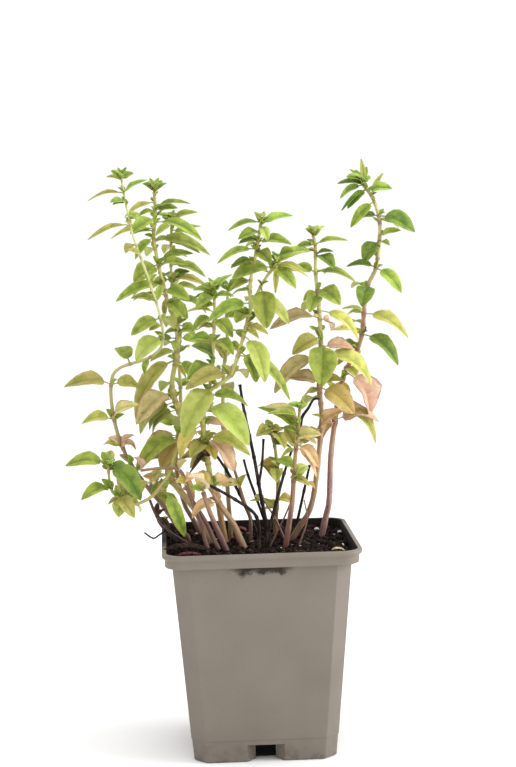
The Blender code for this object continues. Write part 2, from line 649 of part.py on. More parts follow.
def add_leaf(leaf, name, collection):
    """A closed blade, thickest along its midrib and cut into triangles alike on both faces."""
    bm = bmesh.new()
    half = BLADE_THICKNESS / 2
    rings = []
    for t in leaf.stations()[:-1]:
        left, right = leaf.row(t, (-1, 1), 0)
        top, bottom = leaf.row(t, (0,), half) + leaf.row(t, (0,), -half)
        rings.append([bm.verts.new(point * MM) for point in (left, top, right, bottom)])
    tip = bm.verts.new(leaf.middle(1.0) * MM)
    for low, high in zip(rings, rings[1:]):
        for edge, rib in ((0, 1), (2, 1), (2, 3), (0, 3)):
            bm.faces.new((low[edge], low[rib], high[edge]))
            bm.faces.new((low[rib], high[rib], high[edge]))
    for k in range(4):
        bm.faces.new((rings[-1][k], rings[-1][k - 1], tip))
    left, top, right, bottom = rings[0]
    bm.faces.new((left, top, bottom))
    bm.faces.new((top, right, bottom))
    return object_from_bmesh(bm, name, collection)


def add_tube(shoot, name, collection):
    """A tapered stem as a bevelled curve, made a mesh with welded caps."""
    curve = bpy.data.curves.new(name, 'CURVE')
    curve.dimensions = '3D'
    curve.bevel_depth = MM
    curve.bevel_resolution = 1
    curve.use_fill_caps = True
    points, shares = stem_curve(shoot, STEM_STEP)
    spline = curve.splines.new('POLY')
    spline.points.add(len(points) - 1)
    for place, point, share in zip(spline.points, points, shares):
        place.co = (*(point * MM), 1.0)
        place.radius = shoot.radius(share)
    drawn = bpy.data.objects.new(name + "_curve", curve)
    collection.objects.link(drawn)
    graph = bpy.context.evaluated_depsgraph_get()
    mesh = bpy.data.meshes.new_from_object(drawn.evaluated_get(graph))
    bpy.data.objects.remove(drawn, do_unlink=True)
    bm = bmesh.new()
    bm.from_mesh(mesh)
    bpy.data.meshes.remove(mesh)
    bmesh.ops.remove_doubles(bm, verts=bm.verts, dist=WELD)
    return object_from_bmesh(bm, name, collection)


def youth(height):
    """How young a leaf at this height is, from 0 low on the plant to 1 near its top."""
    return min(1.0, max(0.0, (height - OLD_HEIGHT) / (YOUNG_HEIGHT - OLD_HEIGHT)))


def between(old, young, share):
    """Value part of the way from the old leaves' to the young ones'."""
    return old + (young - old) * share


def traced_leaf(shoot, values, draw):
    """A leaf listed on a shoot, turned to the front or back as far as its length asks."""
    height, x, y, z, breadth = values
    share = youth(height)
    length = min(between(OLD_LENGTH, YOUNG_LENGTH, share), LENGTH_PER_BREADTH * breadth)
    spare = math.sqrt(max(0.0, length ** 2 - x ** 2 - z ** 2))
    reach = Vector((x, math.copysign(max(abs(y), DEPTH_SHARE * spare), y), z))
    roll = Vector((draw.uniform(-FACING_SPREAD, FACING_SPREAD),
                   draw.uniform(-FACING_SPREAD, FACING_SPREAD), 0.0))
    return Leaf(node_on_stem(shoot, height), reach, breadth, LEAF_FACING + roll,
                between(OLD_ARCH, YOUNG_ARCH, share))


def outward_reach(turn, rise, length):
    """Vector of a length that points away from the stem at a turn, raised by an angle."""
    flat = Vector((math.cos(turn), math.sin(turn), 0.0))
    return (flat * math.cos(rise) + Vector((0.0, 0.0, 1.0)) * math.sin(rise)) * length


def rosette_leaves(shoot, draw):
    """The small steep leaves round a shoot's tip."""
    top = Vector(shoot.route[-1]) - Vector((0.0, 0.0, ROSETTE_SINK))
    leaves = []
    for k in range(ROSETTE_LEAVES):
        turn = (k + ROSETTE_START) * 2 * math.pi / ROSETTE_LEAVES
        turn += draw.uniform(-ROSETTE_SWING, ROSETTE_SWING)
        rise = math.radians(draw.uniform(*ROSETTE_RISE))
        length = shoot.rosette * draw.uniform(*ROSETTE_LENGTHS)
        reach = outward_reach(turn, rise, length)
        leaves.append(Leaf(top, reach, length * ROSETTE_BREADTH, LEAF_FACING, YOUNG_ARCH))
    return leaves


def back_leaves(shoot, draw):
    """Leaves that point to the back, between the pairs seen at the sides."""
    low, high = shoot.back
    leaves = []
    height = low + draw.uniform(*BACK_START)
    while height < high:
        share = (height - low) / (high - low)
        turn = math.pi / 2 + draw.uniform(-BACK_TURN, BACK_TURN)
        length = between(*BACK_LENGTHS, share) * draw.uniform(*BACK_SPREAD)
        reach = outward_reach(turn, -math.radians(draw.uniform(*BACK_FALL)), length)
        leaves.append(Leaf(node_on_stem(shoot, height), reach, length * BACK_BREADTH, BACK_FACING,
                           between(OLD_ARCH, YOUNG_ARCH, share)))
        height += draw.uniform(*BACK_STEP)
    return leaves


class Crowd:
    """Keeps count of the space that stems and leaves take, so that they stay clear."""

    def __init__(self, plant):
        """Start with every stem's own points."""
        self.points = np.empty((0, 3))
        self.radii = np.empty(0)
        self.owners = np.empty(0, dtype=int)
        self.names = list(plant)
        for owner, shoots in plant.items():
            for shoot in shoots:
                curve, shares = stem_curve(shoot, CROWD_STEP)
                for point, share in zip(curve, shares):
                    self.take([point], shoot.radius(share) + STEM_CLEARANCE, owner)
        self.stem_count = len(self.radii)

    def take(self, points, radius, owner):
        """Add points that later leaves must keep a radius from."""
        self.points = np.vstack([self.points, [tuple(point) for point in points]])
        self.radii = np.append(self.radii, [radius] * len(points))
        self.owners = np.append(self.owners, [self.names.index(owner)] * len(points))

    def is_clear(self, leaf, owner, with_own):
        """Whether the leaf lies clear of the other nodes, the pot's rim and, if asked, its own."""
        samples = np.array([tuple(point) for point in leaf.samples()])
        near_rim = ((samples[:, 2] < RIM_GUARD_HEIGHT)
                    & (np.abs(samples[:, :2]).max(axis=1) < RIM_GUARD_HALF))
        if near_rim.any():
            return False
        gaps = np.linalg.norm(samples[:, None] - self.points[None], axis=2)
        other = self.owners != self.names.index(owner)
        if (gaps[:, other] < self.radii[other]).any():
            return False
        if not with_own:
            return True
        own = ~other
        own[:self.stem_count] = False
        outer = samples[int(len(samples) * OWN_FROM):]
        gaps = gaps[len(samples) - len(outer):, own]
        return not (gaps < OWN_CLEARANCE).any()

    def settle(self, leaf, owner):
        """Shift the leaf's tip in depth until it is clear, and take its space."""
        wanted = leaf.reach.copy()
        for with_own in (True, False):
            for shift in DEPTH_SHIFTS:
                leaf.reach = wanted + Vector((0, shift, 0))
                if self.is_clear(leaf, owner, with_own):
                    self.take(leaf.samples(), LEAF_CLEARANCE, owner)
                    return True
        return False


def plan_leaves(plant):
    """Every leaf that finds clear space, for each node's name."""
    crowd = Crowd({**plant, **DEAD})
    draw = random.Random(SEED)
    planned = {name: [] for name in plant}
    for name, shoots in plant.items():
        for shoot in shoots:
            traced = [traced_leaf(shoot, values, draw) for values in shoot.leaves]
            planned[name] += [leaf for leaf in traced if crowd.settle(leaf, name)]
    for name, shoots in plant.items():
        for shoot in shoots:
            extra = rosette_leaves(shoot, draw) if shoot.rosette else []
            extra += back_leaves(shoot, draw) if shoot.back else []
            planned[name] += [leaf for leaf in extra if crowd.settle(leaf, name)]
    return planned


def build_stem(name, shoots, leaves, collection, material, smooth):
    """Fuse a stem, its side shoots and its leaves into one body."""
    pieces = make_collection(name + "_pieces")
    stem = add_tube(shoots[0], name, collection)
    for number, shoot in enumerate(shoots[1:]):
        add_tube(shoot, f"{name}_shoot_{number}", pieces)
    for number, leaf in enumerate(leaves):
        add_leaf(leaf, f"{name}_leaf_{number}", pieces)
    if pieces.objects:
        boolean(stem, 'UNION', group=pieces)
        apply_modifiers(stem)
        keep_main_body(stem)
    for piece in list(pieces.objects):
        bpy.data.objects.remove(piece, do_unlink=True)
    bpy.data.collections.remove(pieces)
    stem.data.materials.clear()
    stem.data.materials.append(material)
    if smooth:
        stem.data.shade_smooth()
        stem.data.set_sharp_from_angle(angle=STALK_EDGE)
    return stem


def main():
    """Build the whole part."""
    clear_scene()
    collection = make_collection("potted_oregano")
    cutters = make_collection("cutters")
    build_pot(collection, cutters)
    shoots = [group[0] for group in list(PLANT.values()) + list(DEAD.values())]
    build_soil(collection, cutters, shoots)
    leaves = plan_leaves(PLANT)
    for name, group in PLANT.items():
        material = make_material(name + "_green", LEAF_COLOUR, LEAF_ROUGHNESS)
        build_stem(name, group, leaves[name], collection, material, smooth=False)
    for name, group in DEAD.items():
        material = make_material(name + "_dry", DEAD_COLOUR, DEAD_ROUGHNESS)
        build_stem(name, group, [], collection, material, smooth=True)


main()
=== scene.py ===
"""Potted oregano, dressed: a moulded nursery pot, peat soil and a crowded, partly faded plant.

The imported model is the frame, and each of its nodes is replaced by a finer piece of the same
form: the pot with rounded edges, the soil with crumbs, bark and rootlets, and the stems whose
leaves have a stalk, a midrib, side veins and an age. Metres and +Z up; the plant's routes and
leaves are written in millimetres and scaled by MM where they become meshes.
"""

import logging
import math
import random
from collections.abc import Callable
from dataclasses import dataclass, field, replace
from enum import Enum
from functools import partial

import bmesh
import bpy
import numpy as np
from mathutils import Euler, Matrix, Vector, noise


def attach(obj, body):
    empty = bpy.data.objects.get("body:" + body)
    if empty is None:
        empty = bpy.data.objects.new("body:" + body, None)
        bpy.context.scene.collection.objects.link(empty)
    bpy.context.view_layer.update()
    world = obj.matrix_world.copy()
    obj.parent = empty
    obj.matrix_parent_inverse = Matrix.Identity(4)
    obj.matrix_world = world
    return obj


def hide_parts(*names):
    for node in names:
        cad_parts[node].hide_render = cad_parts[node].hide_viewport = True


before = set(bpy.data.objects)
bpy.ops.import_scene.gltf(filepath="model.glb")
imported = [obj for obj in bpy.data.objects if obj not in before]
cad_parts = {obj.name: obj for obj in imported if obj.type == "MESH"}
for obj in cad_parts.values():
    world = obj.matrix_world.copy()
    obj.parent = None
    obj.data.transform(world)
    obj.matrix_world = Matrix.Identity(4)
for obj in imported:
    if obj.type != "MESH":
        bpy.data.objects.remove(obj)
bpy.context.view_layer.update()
log = logging.getLogger("potted_oregano")

MM = 0.001

# The photograph's frame, in pixels
PHOTO_WIDTH, PHOTO_HEIGHT = 516, 767

# Leaf blades, in millimetres, from the oldest low leaves to the young ones at the tips
OLD_HEIGHT, YOUNG_HEIGHT = 150.0, 268.0
OLD_LENGTH, YOUNG_LENGTH = 20.0, 11.0
OLD_ARCH, YOUNG_ARCH = 0.22, 0.13
ARCH_LEAN = 0.8
LENGTH_PER_BREADTH = 1.9
DEPTH_SHARE = 0.8
SMALLEST_ACROSS = 0.2
SPARE_FACING = Vector((0.3, -1.0, 0.2))
SAMPLE_STEP = 2.2
SAMPLE_PLACES = (-1, -0.5, 0, 0.5, 1)
BREADTH_SCALE = 0.92
OUTLINE_LEAN = 0.7
OUTLINE_FULLNESS = 0.62
PETIOLE_HALF = 0.45
PETIOLE_SHARE = 0.16
ROOT_PAST_AXIS = 0.25
FOLD = math.radians(16)
LEAF_FACING = Vector((0.0, -0.62, 0.78))
FACING_SPREAD = 0.2
SEED = 11
NODE_SEARCH_STEP = 1.0
CROWD_STEP = 1.5

# Rosettes at the tips and the pairs that point to the back, lengths in millimetres
ROSETTE_LEAVES = 5
ROSETTE_BREADTH = 0.8
ROSETTE_LENGTHS = (0.75, 1.0)
ROSETTE_START = 0.3
ROSETTE_SWING = 0.2
ROSETTE_RISE = (25, 60)
ROSETTE_SINK = 0.6
BACK_LENGTHS = (17.0, 12.0)
BACK_SPREAD = (0.8, 1.05)
BACK_BREADTH = 0.55
BACK_TURN = 0.6
BACK_FALL = (-15, 25)
BACK_START = (2, 6)
BACK_STEP = (14, 19)
BACK_FACING = Vector((0.0, 0.1, 1.0))

# Clear space round leaves and stems, in millimetres
LEAF_CLEARANCE = 1.9
OWN_CLEARANCE = 1.3
OWN_FROM = 0.4
STEM_CLEARANCE = 1.3
RIM_GUARD_HEIGHT = 101.5
RIM_GUARD_HALF = 48.0
DEPTH_SHIFTS = (0, 3, -3, 6, -6, 9, -9, 13, -13)

# Names of the mesh layers that the materials read
LEAF_UV = "blade"
SHADE = "shade"
JOINT = "joint"
GRAIN = "grain"

# Inputs of a Mix node that mixes colours
FACTOR, COLOUR_A, COLOUR_B = 0, 6, 7

# Veins: how many side pairs a blade has, how far they lean forward, how clearly they show
LEAF_VEIN_ROWS = 4.5
LEAF_VEIN_LEAN = 0.34
VEIN_SHOW = 0.4

# The pot's plastic, the earth on it and the painted shade inside its rim, on its lip and in its cavity;
# the inner wall's corner centre and radius, the edges' softness, the smudge's middle and the half
# breadth of the cavity painted dark, in metres
POT_DARK, POT_LIGHT, POT_FLECK = "6c645b", "80776d", "4a3f36"
POT_EARTH_AND_SHADE, POT_SMUDGE = "1b110d", "281d18"
INNER_CENTRE, INNER_REACH = 0.0357, 0.0083
EDGE_SOFT = 0.0004
SMUDGE_MIDDLE = -0.6 * MM
CAVITY_HALF = 28.2 * MM

SPECK_COLOUR = "6b4f33"
STRAW = "c4b48e"
FOOT_STAIN = "5a3b38"

# Only leaves at least this long, in millimetres, make a joint on the stem
JOINT_LEAF = 8.0

# The soil's mean height, how deep stems go into it and how far they lean there, in millimetres
SOIL_LEVEL = 95.8
BURIED_DEPTH = 7.0
FURTHEST_LEAN = 9.0


class Age(Enum):
    """How old or dry a leaf is; the value is the letter that marks it in Shoot.ages."""

    YOUNG = "Y"
    FRESH = "F"
    LIGHT = "L"
    DARK = "D"
    OLIVE = "O"
    GOLD = "G"
    PINK_DRY = "P"
    ORANGE_DRY = "R"
    BROWN = "B"
    WITHERED = "W"


@dataclass(frozen=True)
class LeafFinish:
    """The colours of one age of leaf, as sRGB hex values, its gloss and its brown specks.

    edge_reach is the share of the blade, from the midrib outwards, that keeps its colour.
    """

    upper: str
    blotch: str
    under: str
    vein: str
    edge: str
    edge_reach: float
    roughness: float
    specks: float = 0.0


@dataclass(frozen=True)
class LeafHabit:
    """How a blade of one age is bent: fold and twist in degrees, the rest as shares of its breadth."""

    fold: float = 14.0
    pillow: float = 0.10
    wave: float = 0.03
    twist: float = 4.0


LEAF_FINISHES = {
    Age.YOUNG: LeafFinish("9bb049", "718c35", "b3b96b", "adb966", "aab862", 0.86, 0.60),
    Age.FRESH: LeafFinish("9ba842", "73882f", "b8bb6d", "aab35e", "a9b25d", 0.86, 0.58),
    Age.LIGHT: LeafFinish("aeb75c", "96a344", "bdbf7d", "bfc378", "bcbf77", 0.86, 0.60),
    Age.DARK: LeafFinish("74892f", "536c22", "9ea65c", "8b9a4a", "89984a", 0.90, 0.54),
    Age.OLIVE: LeafFinish("b5ae5d", "989a46", "bfb77f", "bdb874", "b8a468", 0.82, 0.64, 0.5),
    Age.GOLD: LeafFinish("c8b266", "b5a652", "ccbd80", "cfc07c", "bf9f66", 0.78, 0.66, 0.6),
    Age.PINK_DRY: LeafFinish("dab99b", "cba487", "e3cbb2", "e4cdb2", "b3876f", 0.76, 0.72, 0.4),
    Age.ORANGE_DRY: LeafFinish("dfbd8c", "cfa878", "e3c9a0", "e8d2a8", "b8865c", 0.76, 0.72, 0.3),
    Age.BROWN: LeafFinish("c6b67d", "b0a36a", "cfc090", "cabd88", "a17e5a", 0.76, 0.68, 0.6),
    Age.WITHERED: LeafFinish("564336", "413128", "634f43", "685546", "34261f", 0.70, 0.78),
}

LEAF_HABITS = {
    Age.YOUNG: LeafHabit(fold=20.0, twist=3.0),
    Age.FRESH: LeafHabit(fold=19.0),
    Age.DARK: LeafHabit(fold=21.0),
    Age.LIGHT: LeafHabit(fold=17.0),
    Age.OLIVE: LeafHabit(fold=23.0, wave=0.05, twist=9.0),
    Age.GOLD: LeafHabit(fold=20.0, wave=0.06, twist=9.0),
    Age.PINK_DRY: LeafHabit(fold=30.0, wave=0.10, twist=14.0),
    Age.ORANGE_DRY: LeafHabit(fold=32.0, wave=0.10, twist=16.0),
    Age.BROWN: LeafHabit(fold=26.0, wave=0.08, twist=12.0),
    Age.WITHERED: LeafHabit(fold=48.0, wave=0.14, twist=24.0),
}


@dataclass(frozen=True)
class StemTone:
    """A living stem's colours from the soil up, as sRGB hex values.

    low and high are the heights in millimetres at which foot turns to middle and middle to crown.
    """

    foot: str
    middle: str
    crown: str
    joint: str
    low: float
    high: float


STEM_TONES = {
    "far_left_stem": StemTone("876a5d", "a8a063", "c9cd8f", "916c4a", 146, 186),
    "tall_left_stem": StemTone("c5ac79", "b1b05f", "babb6e", "98714b", 124, 150),
    "left_back_stem": StemTone("785b48", "a09a5c", "b5b774", "876744", 128, 165),
    "forked_stem": StemTone("b8955f", "babd70", "bbbf70", "a27b54", 122, 150),
    "mid_thin_stem": StemTone("9f895d", "aeb067", "b0b569", "91714b", 118, 150),
    "mid_right_stem": StemTone("876a57", "a2835f", "bdbd77", "91644f", 112, 186),
    "right_tall_stem": StemTone("a27a76", "a98768", "bfbd7b", "7d544d", 134, 222),
    "red_stem": StemTone("9d6e64", "a2815a", "a89c5f", "7b5444", 116, 150),
    "small_centre_stem": StemTone("91734f", "a09154", "a2a056", "7d5e3d", 112, 140),
    "beige_stem": StemTone("a98a68", "b59a70", "b59c6e", "a27856", 106, 124),
    "purple_stem": StemTone("785556", "8e6c58", "a2855d", "6a4746", 104, 118),
    "outer_left_stem": StemTone("76594b", "85684d", "957f51", "5d4235", 104, 118),
    "dry_twig": StemTone("4a382f", "533f33", "5c4638", "362621", 104, 116),
}


@dataclass
class Shoot:
    """A stem or side shoot: its route, its radii and the leaves on it, in millimetres.

    Each leaf is (height of its node, reach of its tip in X, Y and Z from the node, breadth),
    and ages has one letter of Age for each of them. rosette is the length of the leaves round
    the tip, back the heights between which leaves point to the back.
    """

    route: list
    foot_radius: float
    tip_radius: float
    leaves: list = field(default_factory=list)
    ages: str = ""
    rosette: float = 0.0
    back: tuple = ()

    def leaning(self) -> "Shoot":
        """The shoot with its upright foot laid along its lowest visible run, down into the soil.

        Returns:
            The new shoot, or this one if its foot isn't upright or would lean too far.
        """
        if self.route[0][:2] != self.route[1][:2]:
            return self
        foot, above = Vector(self.route[2]), Vector(self.route[3])
        drop = (foot.z - SOIL_LEVEL + BURIED_DEPTH) / (above.z - foot.z)
        shift = (foot - above) * drop
        if shift.xy.length > FURTHEST_LEAN:
            return self
        return replace(self, route=[tuple(foot + shift), *self.route[2:]])

    def radius(self, share: float) -> float:
        """Radius at a share of the way from foot to tip."""
        return self.foot_radius + (self.tip_radius - self.foot_radius) * share


PLANT = {
    "far_left_stem": [
        Shoot([(-33, 12, 84), (-33, 12, 97), (-37, 11, 102), (-41, 10, 108), (-47, 9, 117), (-53, 8, 125),
               (-62, 7, 140), (-67, 5, 157), (-68, 3, 174), (-64, 2, 182), (-49, 2, 187), (-43, 1, 194),
               (-44, -1, 207), (-49, -3, 225), (-55, -5, 243), (-58, -7, 258), (-60, -8, 271)], 1.15, 0.36,
              [(264, -17, 3, -3, 4), (264, 11, -3, 6, 4), (259, -7, -5, 1, 6), (249, -20, -2, -6, 4),
               (251, 4, 6, 4, 6), (234, -6, -3, 4, 5), (213, -12, 4, 2, 6), (205, -14, -3, -7, 8),
               (196, -13, -7, -10, 11), (184, -6, 3, 7, 9), (174, -22, -3, 0, 10), (174, 14, 4, -3, 9),
               (157, -16, 4, -2, 8), (157, 12, -4, 8, 9), (144, -7, 3, 4, 5), (144, 6, -3, 6, 5),
               (136, -5, -5, -13, 8), (128, -5, -6, -10, 10), (121, 13, -8, -13, 9)],
              ages="OYYOFOFFLFOOOBPPBLF", rosette=7.0, back=(200, 262))],
    "tall_left_stem": [
        Shoot([(-23, 6, 84), (-23, 6, 97), (-26, 7, 104), (-30, 8, 113), (-40, 10, 126), (-42, 10, 132),
               (-35, 12, 146), (-34, 12, 153), (-39, 14, 170), (-37, 16, 184), (-35, 17, 196),
               (-36, 17, 201), (-40, 18, 212), (-44, 20, 230), (-46, 22, 243), (-45, 23, 252),
               (-45, 24, 266)], 1.6, 0.6,
              [(257, 17, -3, 2, 5), (260, -15, 3, -7, 5), (256, 11, -5, 1, 6), (252, -12, -8, -7, 8),
               (247, -21, 5, -4, 6), (250, 22, -7, -8, 9), (243, -9, -3, -10, 6), (242, 27, 4, -8, 9),
               (230, -12, -5, -8, 11), (230, 17, 6, 5, 7), (229, 14, -6, 1, 7), (220, -23, -3, -7, 8),
               (220, -15, 6, -5, 7), (218, 12, -4, -5, 8), (212, 8, -6, -7, 8), (201, 9, 4, -8, 8),
               (196, 9, -3, 3, 7), (184, -20, -10, -28, 11), (184, -15, 3, -16, 9), (184, 7, 5, -12, 9),
               (168, -18, -5, -13, 13), (164, -13, 6, -14, 11), (160, -13, 5, -12, 11),
               (147, -23, -5, -15, 11), (147, -11, -11, -14, 11), (147, -20, 6, -9, 9)],
              ages="YOYFOFFFFFFFFFFFFOOFBLLFGB", rosette=8.0, back=(150, 258)),
        Shoot([(-35, 12, 146), (-38, 3, 141), (-41, -4, 133), (-46, -8, 126), (-52, -10, 121),
               (-59, -11, 119), (-65, -12, 122), (-69, -12, 127), (-70, -13, 138)], 1.0, 0.6,
              [(138, -20, 2, 0, 9), (138, 15, -6, -16, 12), (135, 1, 3, 9, 7), (126, -14, -6, -3, 9),
               (123, 8, -7, -9, 8), (121, -2, -6, -7, 8), (120, 6, 5, -6, 7), (121, 12, 4, 8, 8)],
              ages="FDOFOLLO", rosette=6.0),
        Shoot([(-46, -8, 126), (-44, -9, 125)], 0.7, 0.5, [(125, 9, -4, -22, 7)], ages="F")],
    "left_back_stem": [
        Shoot([(-27, 22, 84), (-27, 22, 97), (-30, 23, 104), (-35, 25, 114), (-38, 28, 134), (-35, 32, 163),
               (-36, 36, 193), (-37, 39, 212), (-38, 41, 229), (-37, 44, 251)], 1.2, 0.5,
              [(251, 13, 3, 4, 5), (251, -6, -3, 3, 5), (242, 15, 5, 6, 6), (242, -10, 4, -3, 6),
               (229, 17, 3, -6, 7), (222, -11, 6, -5, 7), (212, 16, 5, -7, 8), (193, 14, 4, -6, 8),
               (193, -13, 6, -6, 8), (149, -14, 4, 5, 9), (134, 1, -4, 10, 8)],
              ages="FFFFFFDFDLO", rosette=6.0, back=(150, 246))],
    "forked_stem": [
        Shoot([(-16, 2, 84), (-16, 2, 97), (-17, 1, 106), (-19, 0, 119), (-22, -1, 129), (-24, -4, 146),
               (-25, -8, 159), (-22, -12, 171), (-12, -14, 179), (-6, -16, 195), (-2, -18, 209),
               (4, -20, 222), (11, -22, 231)], 1.5, 0.6,
              [(231, 7, -3, 5, 9), (231, 15, 6, 5, 7), (228, 10, -6, -9, 8), (227, 17, 4, -1, 7),
               (228, -19, -5, -4, 11), (220, 2, -7, -19, 12), (214, 16, 5, -12, 9), (212, -21, 4, -8, 9),
               (205, -6, -7, -1, 9), (197, 9, -8, -21, 11), (188, 24, 4, -22, 8), (179, -21, -3, -6, 10),
               (179, 8, 3, -3, 9), (174, -16, -9, -23, 14), (168, 20, 6, -5, 8), (165, 20, -8, -19, 14),
               (159, -3, 4, -9, 6), (148, 21, -4, -8, 10), (145, 4, -6, -6, 7), (148, -4, 5, -5, 6),
               (148, 13, -6, -15, 11), (144, -8, -4, -3, 9), (136, -15, 5, 0, 9)],
              ages="FFFLFFLFFLFOBLFLOOGGPOB", rosette=6.0, back=(140, 215)),
        Shoot([(-2, -18, 209), (-2, -22, 222), (1, -26, 237), (3, -30, 249)], 0.8, 0.6,
              [(249, -15, -3, -3, 5), (248, 15, 3, 4, 6), (245, -10, -6, -3, 6), (237, -18, 3, -6, 6),
               (236, 6, -6, -5, 8), (230, -10, 4, 0, 6)], ages="YYYFFF", rosette=6.5),
        Shoot([(-22, -12, 171), (-20, -6, 182), (-19, -1, 194), (-18, 2, 206), (-18, 4, 218)], 0.8, 0.6,
              [(216, -10, 4, 2, 6), (215, -9, -4, -5, 7), (217, 9, 3, 8, 4), (214, 9, -5, 1, 5),
               (205, -11, 3, -7, 7), (204, 8, -5, -8, 8), (194, -12, 5, 0, 7), (194, 9, -6, -6, 8),
               (185, -10, -4, 8, 9), (183, -12, -4, -6, 9)], ages="YYYYFFFFDF", rosette=7.0)],
    "mid_thin_stem": [
        Shoot([(-12, 14, 84), (-12, 14, 97), (-13, 13, 110), (-14, 12, 131), (-15, 12, 155), (-14, 13, 179),
               (-12, 14, 191), (-12, 15, 203), (-11, 15, 217)], 1.1, 0.6,
              [(217, 7, -3, 5, 6), (217, -6, 3, 4, 6), (204, 8, 4, 2, 7), (191, -7, 4, -2, 6),
               (191, 6, -3, -3, 6), (184, -15, 3, 10, 8), (179, -6, 3, -5, 7)],
              ages="DDDFFOF", rosette=5.0, back=(150, 210))],
    "mid_right_stem": [
        Shoot([(18, 6, 84), (18, 6, 97), (20, 6, 102), (25, 5, 110), (28, 4, 121), (31, 3, 144),
               (32, 3, 156), (31, 2, 173), (32, 1, 193), (31, 0, 214), (30, -1, 225), (30, -2, 238),
               (29, -2, 243)], 1.5, 0.6,
              [(238, -10, 3, -2, 5), (238, 15, -3, 2, 4), (233, 8, -5, -6, 9), (225, 19, -2, -5, 7),
               (225, -11, 4, 2, 7), (214, -5, -6, -7, 8), (217, 10, -5, -7, 11), (207, 19, 4, -15, 9),
               (203, -24, -2, -4, 9), (203, 6, 3, -6, 7), (189, 17, 6, -2, 8), (194, -14, -5, -7, 10),
               (192, -1, -9, -20, 15), (187, 25, 5, -17, 13), (186, -22, 4, -18, 10), (172, -15, -3, 3, 9),
               (172, 12, 5, 1, 6), (170, 16, -5, -12, 12), (168, -7, 5, -3, 6), (150, 11, -3, 10, 8),
               (145, -9, 3, -4, 8)], ages="YYDFFFFOBPPOFOBBOGORO", rosette=6.0, back=(160, 230))],
    "right_tall_stem": [
        Shoot([(32, 14, 84), (32, 14, 97), (34, 15, 105), (36, 15, 114), (37, 15, 133), (39, 16, 149),
               (42, 17, 165), (45, 17, 176), (53, 17, 192), (56, 18, 215), (61, 19, 226), (63, 19, 239),
               (63, 19, 250), (60, 20, 260), (55, 20, 267)], 1.5, 0.6,
              [(263, 11, -4, 1, 8), (264, -10, -4, -9, 5), (266, -11, 5, -6, 6), (258, -12, -3, -12, 6),
               (251, 17, -3, -8, 12), (251, -10, 6, -2, 6), (249, 10, 5, -4, 6), (239, -8, -4, -10, 10),
               (238, 4, -4, -1, 5), (226, -14, 3, 1, 6), (226, 12, -3, -12, 8), (218, -4, -8, -10, 10),
               (204, 21, -3, -12, 10), (204, -8, 3, -1, 6), (194, 17, -4, -15, 11), (187, -9, 6, 0, 8),
               (176, 12, 4, -22, 18), (152, 22, 2, -1, 14), (160, 19, 5, -20, 9), (268, -8, -4, 3, 7),
               (268, 3, 4, 8, 4)], ages="YDYFDDFDFDFDOFDDPPOYY", rosette=8.0, back=(160, 255))],
    "red_stem": [
        Shoot([(13, -6, 84), (13, -6, 97), (14, -8, 104), (16, -10, 117), (17, -12, 130), (18, -14, 143),
               (19, -16, 153), (20, -18, 163)], 1.4, 0.6,
              [(155, -16, -3, 9, 9), (151, -18, 5, 12, 7), (146, 11, -4, 5, 9), (145, 10, -5, -10, 7),
               (143, -5, -3, 11, 7), (133, -8, 3, 4, 7), (130, 7, 4, 4, 6), (128, 7, -4, -2, 5)],
              ages="BFBROFLO", rosette=5.0)],
    "small_centre_stem": [
        Shoot([(8, 16, 84), (8, 16, 97), (10, 15, 108), (11, 13, 123), (10, 11, 139), (8, 10, 149)],
              1.1, 0.6,
              [(149, 5, -3, 1, 5), (148, -8, -4, 0, 8), (147, 5, -5, -5, 9), (145, -5, 4, 6, 5),
               (132, -9, 3, -1, 6), (130, -1, -4, -5, 7)], ages="OOOOGO", rosette=4.5)],
    "beige_stem": [
        Shoot([(-8, -10, 84), (-8, -10, 97), (-9, -10, 101), (-12, -9, 108), (-19, -9, 119),
               (-24, -10, 130)], 1.6, 1.1,
              [(118, -13, -6, -7, 9), (125, -8, 3, -1, 6)], ages="RL")],
    "purple_stem": [
        Shoot([(-18, -16, 84), (-18, -16, 97), (-19, -17, 105), (-23, -18, 115), (-26, -19, 125)], 1.4, 0.9,
              [(125, -7, -3, 9, 9), (124, 0, 3, 10, 8)], ages="PG")],
    "outer_left_stem": [
        Shoot([(-34, 22, 84), (-34, 22, 96), (-37, 21, 102), (-42, 20, 108), (-46, 18, 116),
               (-51, 16, 124)], 1.3, 0.8,
              [(123, -4, -3, 6, 7), (122, 4, 3, 8, 7), (120, 3, -4, 8, 8)], ages="ROB")],
    "dry_twig": [
        Shoot([(-34, -2, 84), (-34, -2, 97), (-37, -2, 100), (-42, -3, 104), (-48, -5, 112),
               (-51, -7, 120)], 0.8, 0.6,
              [(115, -6, -3, 2, 5), (109, 4, -4, -3, 5)], ages="WW")],
}

DEAD = {
    "dead_stem_tall": [
        Shoot([(3, 4, 84), (3, 4, 97), (4, 3, 107), (1, 2, 125), (-1, 2, 138), (-5, 1, 159), (-7, 0, 173)],
              1.2, 0.8),
        Shoot([(1, 2, 124), (3, 4, 135), (4, 6, 146)], 0.8, 0.7)],
    "dead_stem_right": [
        Shoot([(9, 2, 84), (9, 2, 97), (9, -1, 116), (13, -2, 130), (17, -4, 142)], 1.1, 0.7)],
    "dead_stem_far_right": [
        Shoot([(19, 22, 84), (19, 22, 97), (24, 19, 118), (27, 18, 131)], 0.9, 0.7)],
    "dead_stem_low": [
        Shoot([(0, -8, 84), (0, -8, 97), (-1, -10, 111), (-11, -12, 120), (-26, -13, 129)], 1.1, 0.8)],
    "dead_stem_crossing": [
        Shoot([(-4, 16, 84), (-4, 16, 97), (-3, 13, 107), (-8, 11, 119), (-14, 7, 131), (-21, 5, 142)],
              1.0, 0.7)],
    "dead_stem_short": [
        Shoot([(-2, 26, 84), (-2, 26, 97), (1, 24, 114), (-3, 23, 126), (-5, 22, 134)], 0.9, 0.7)],
}


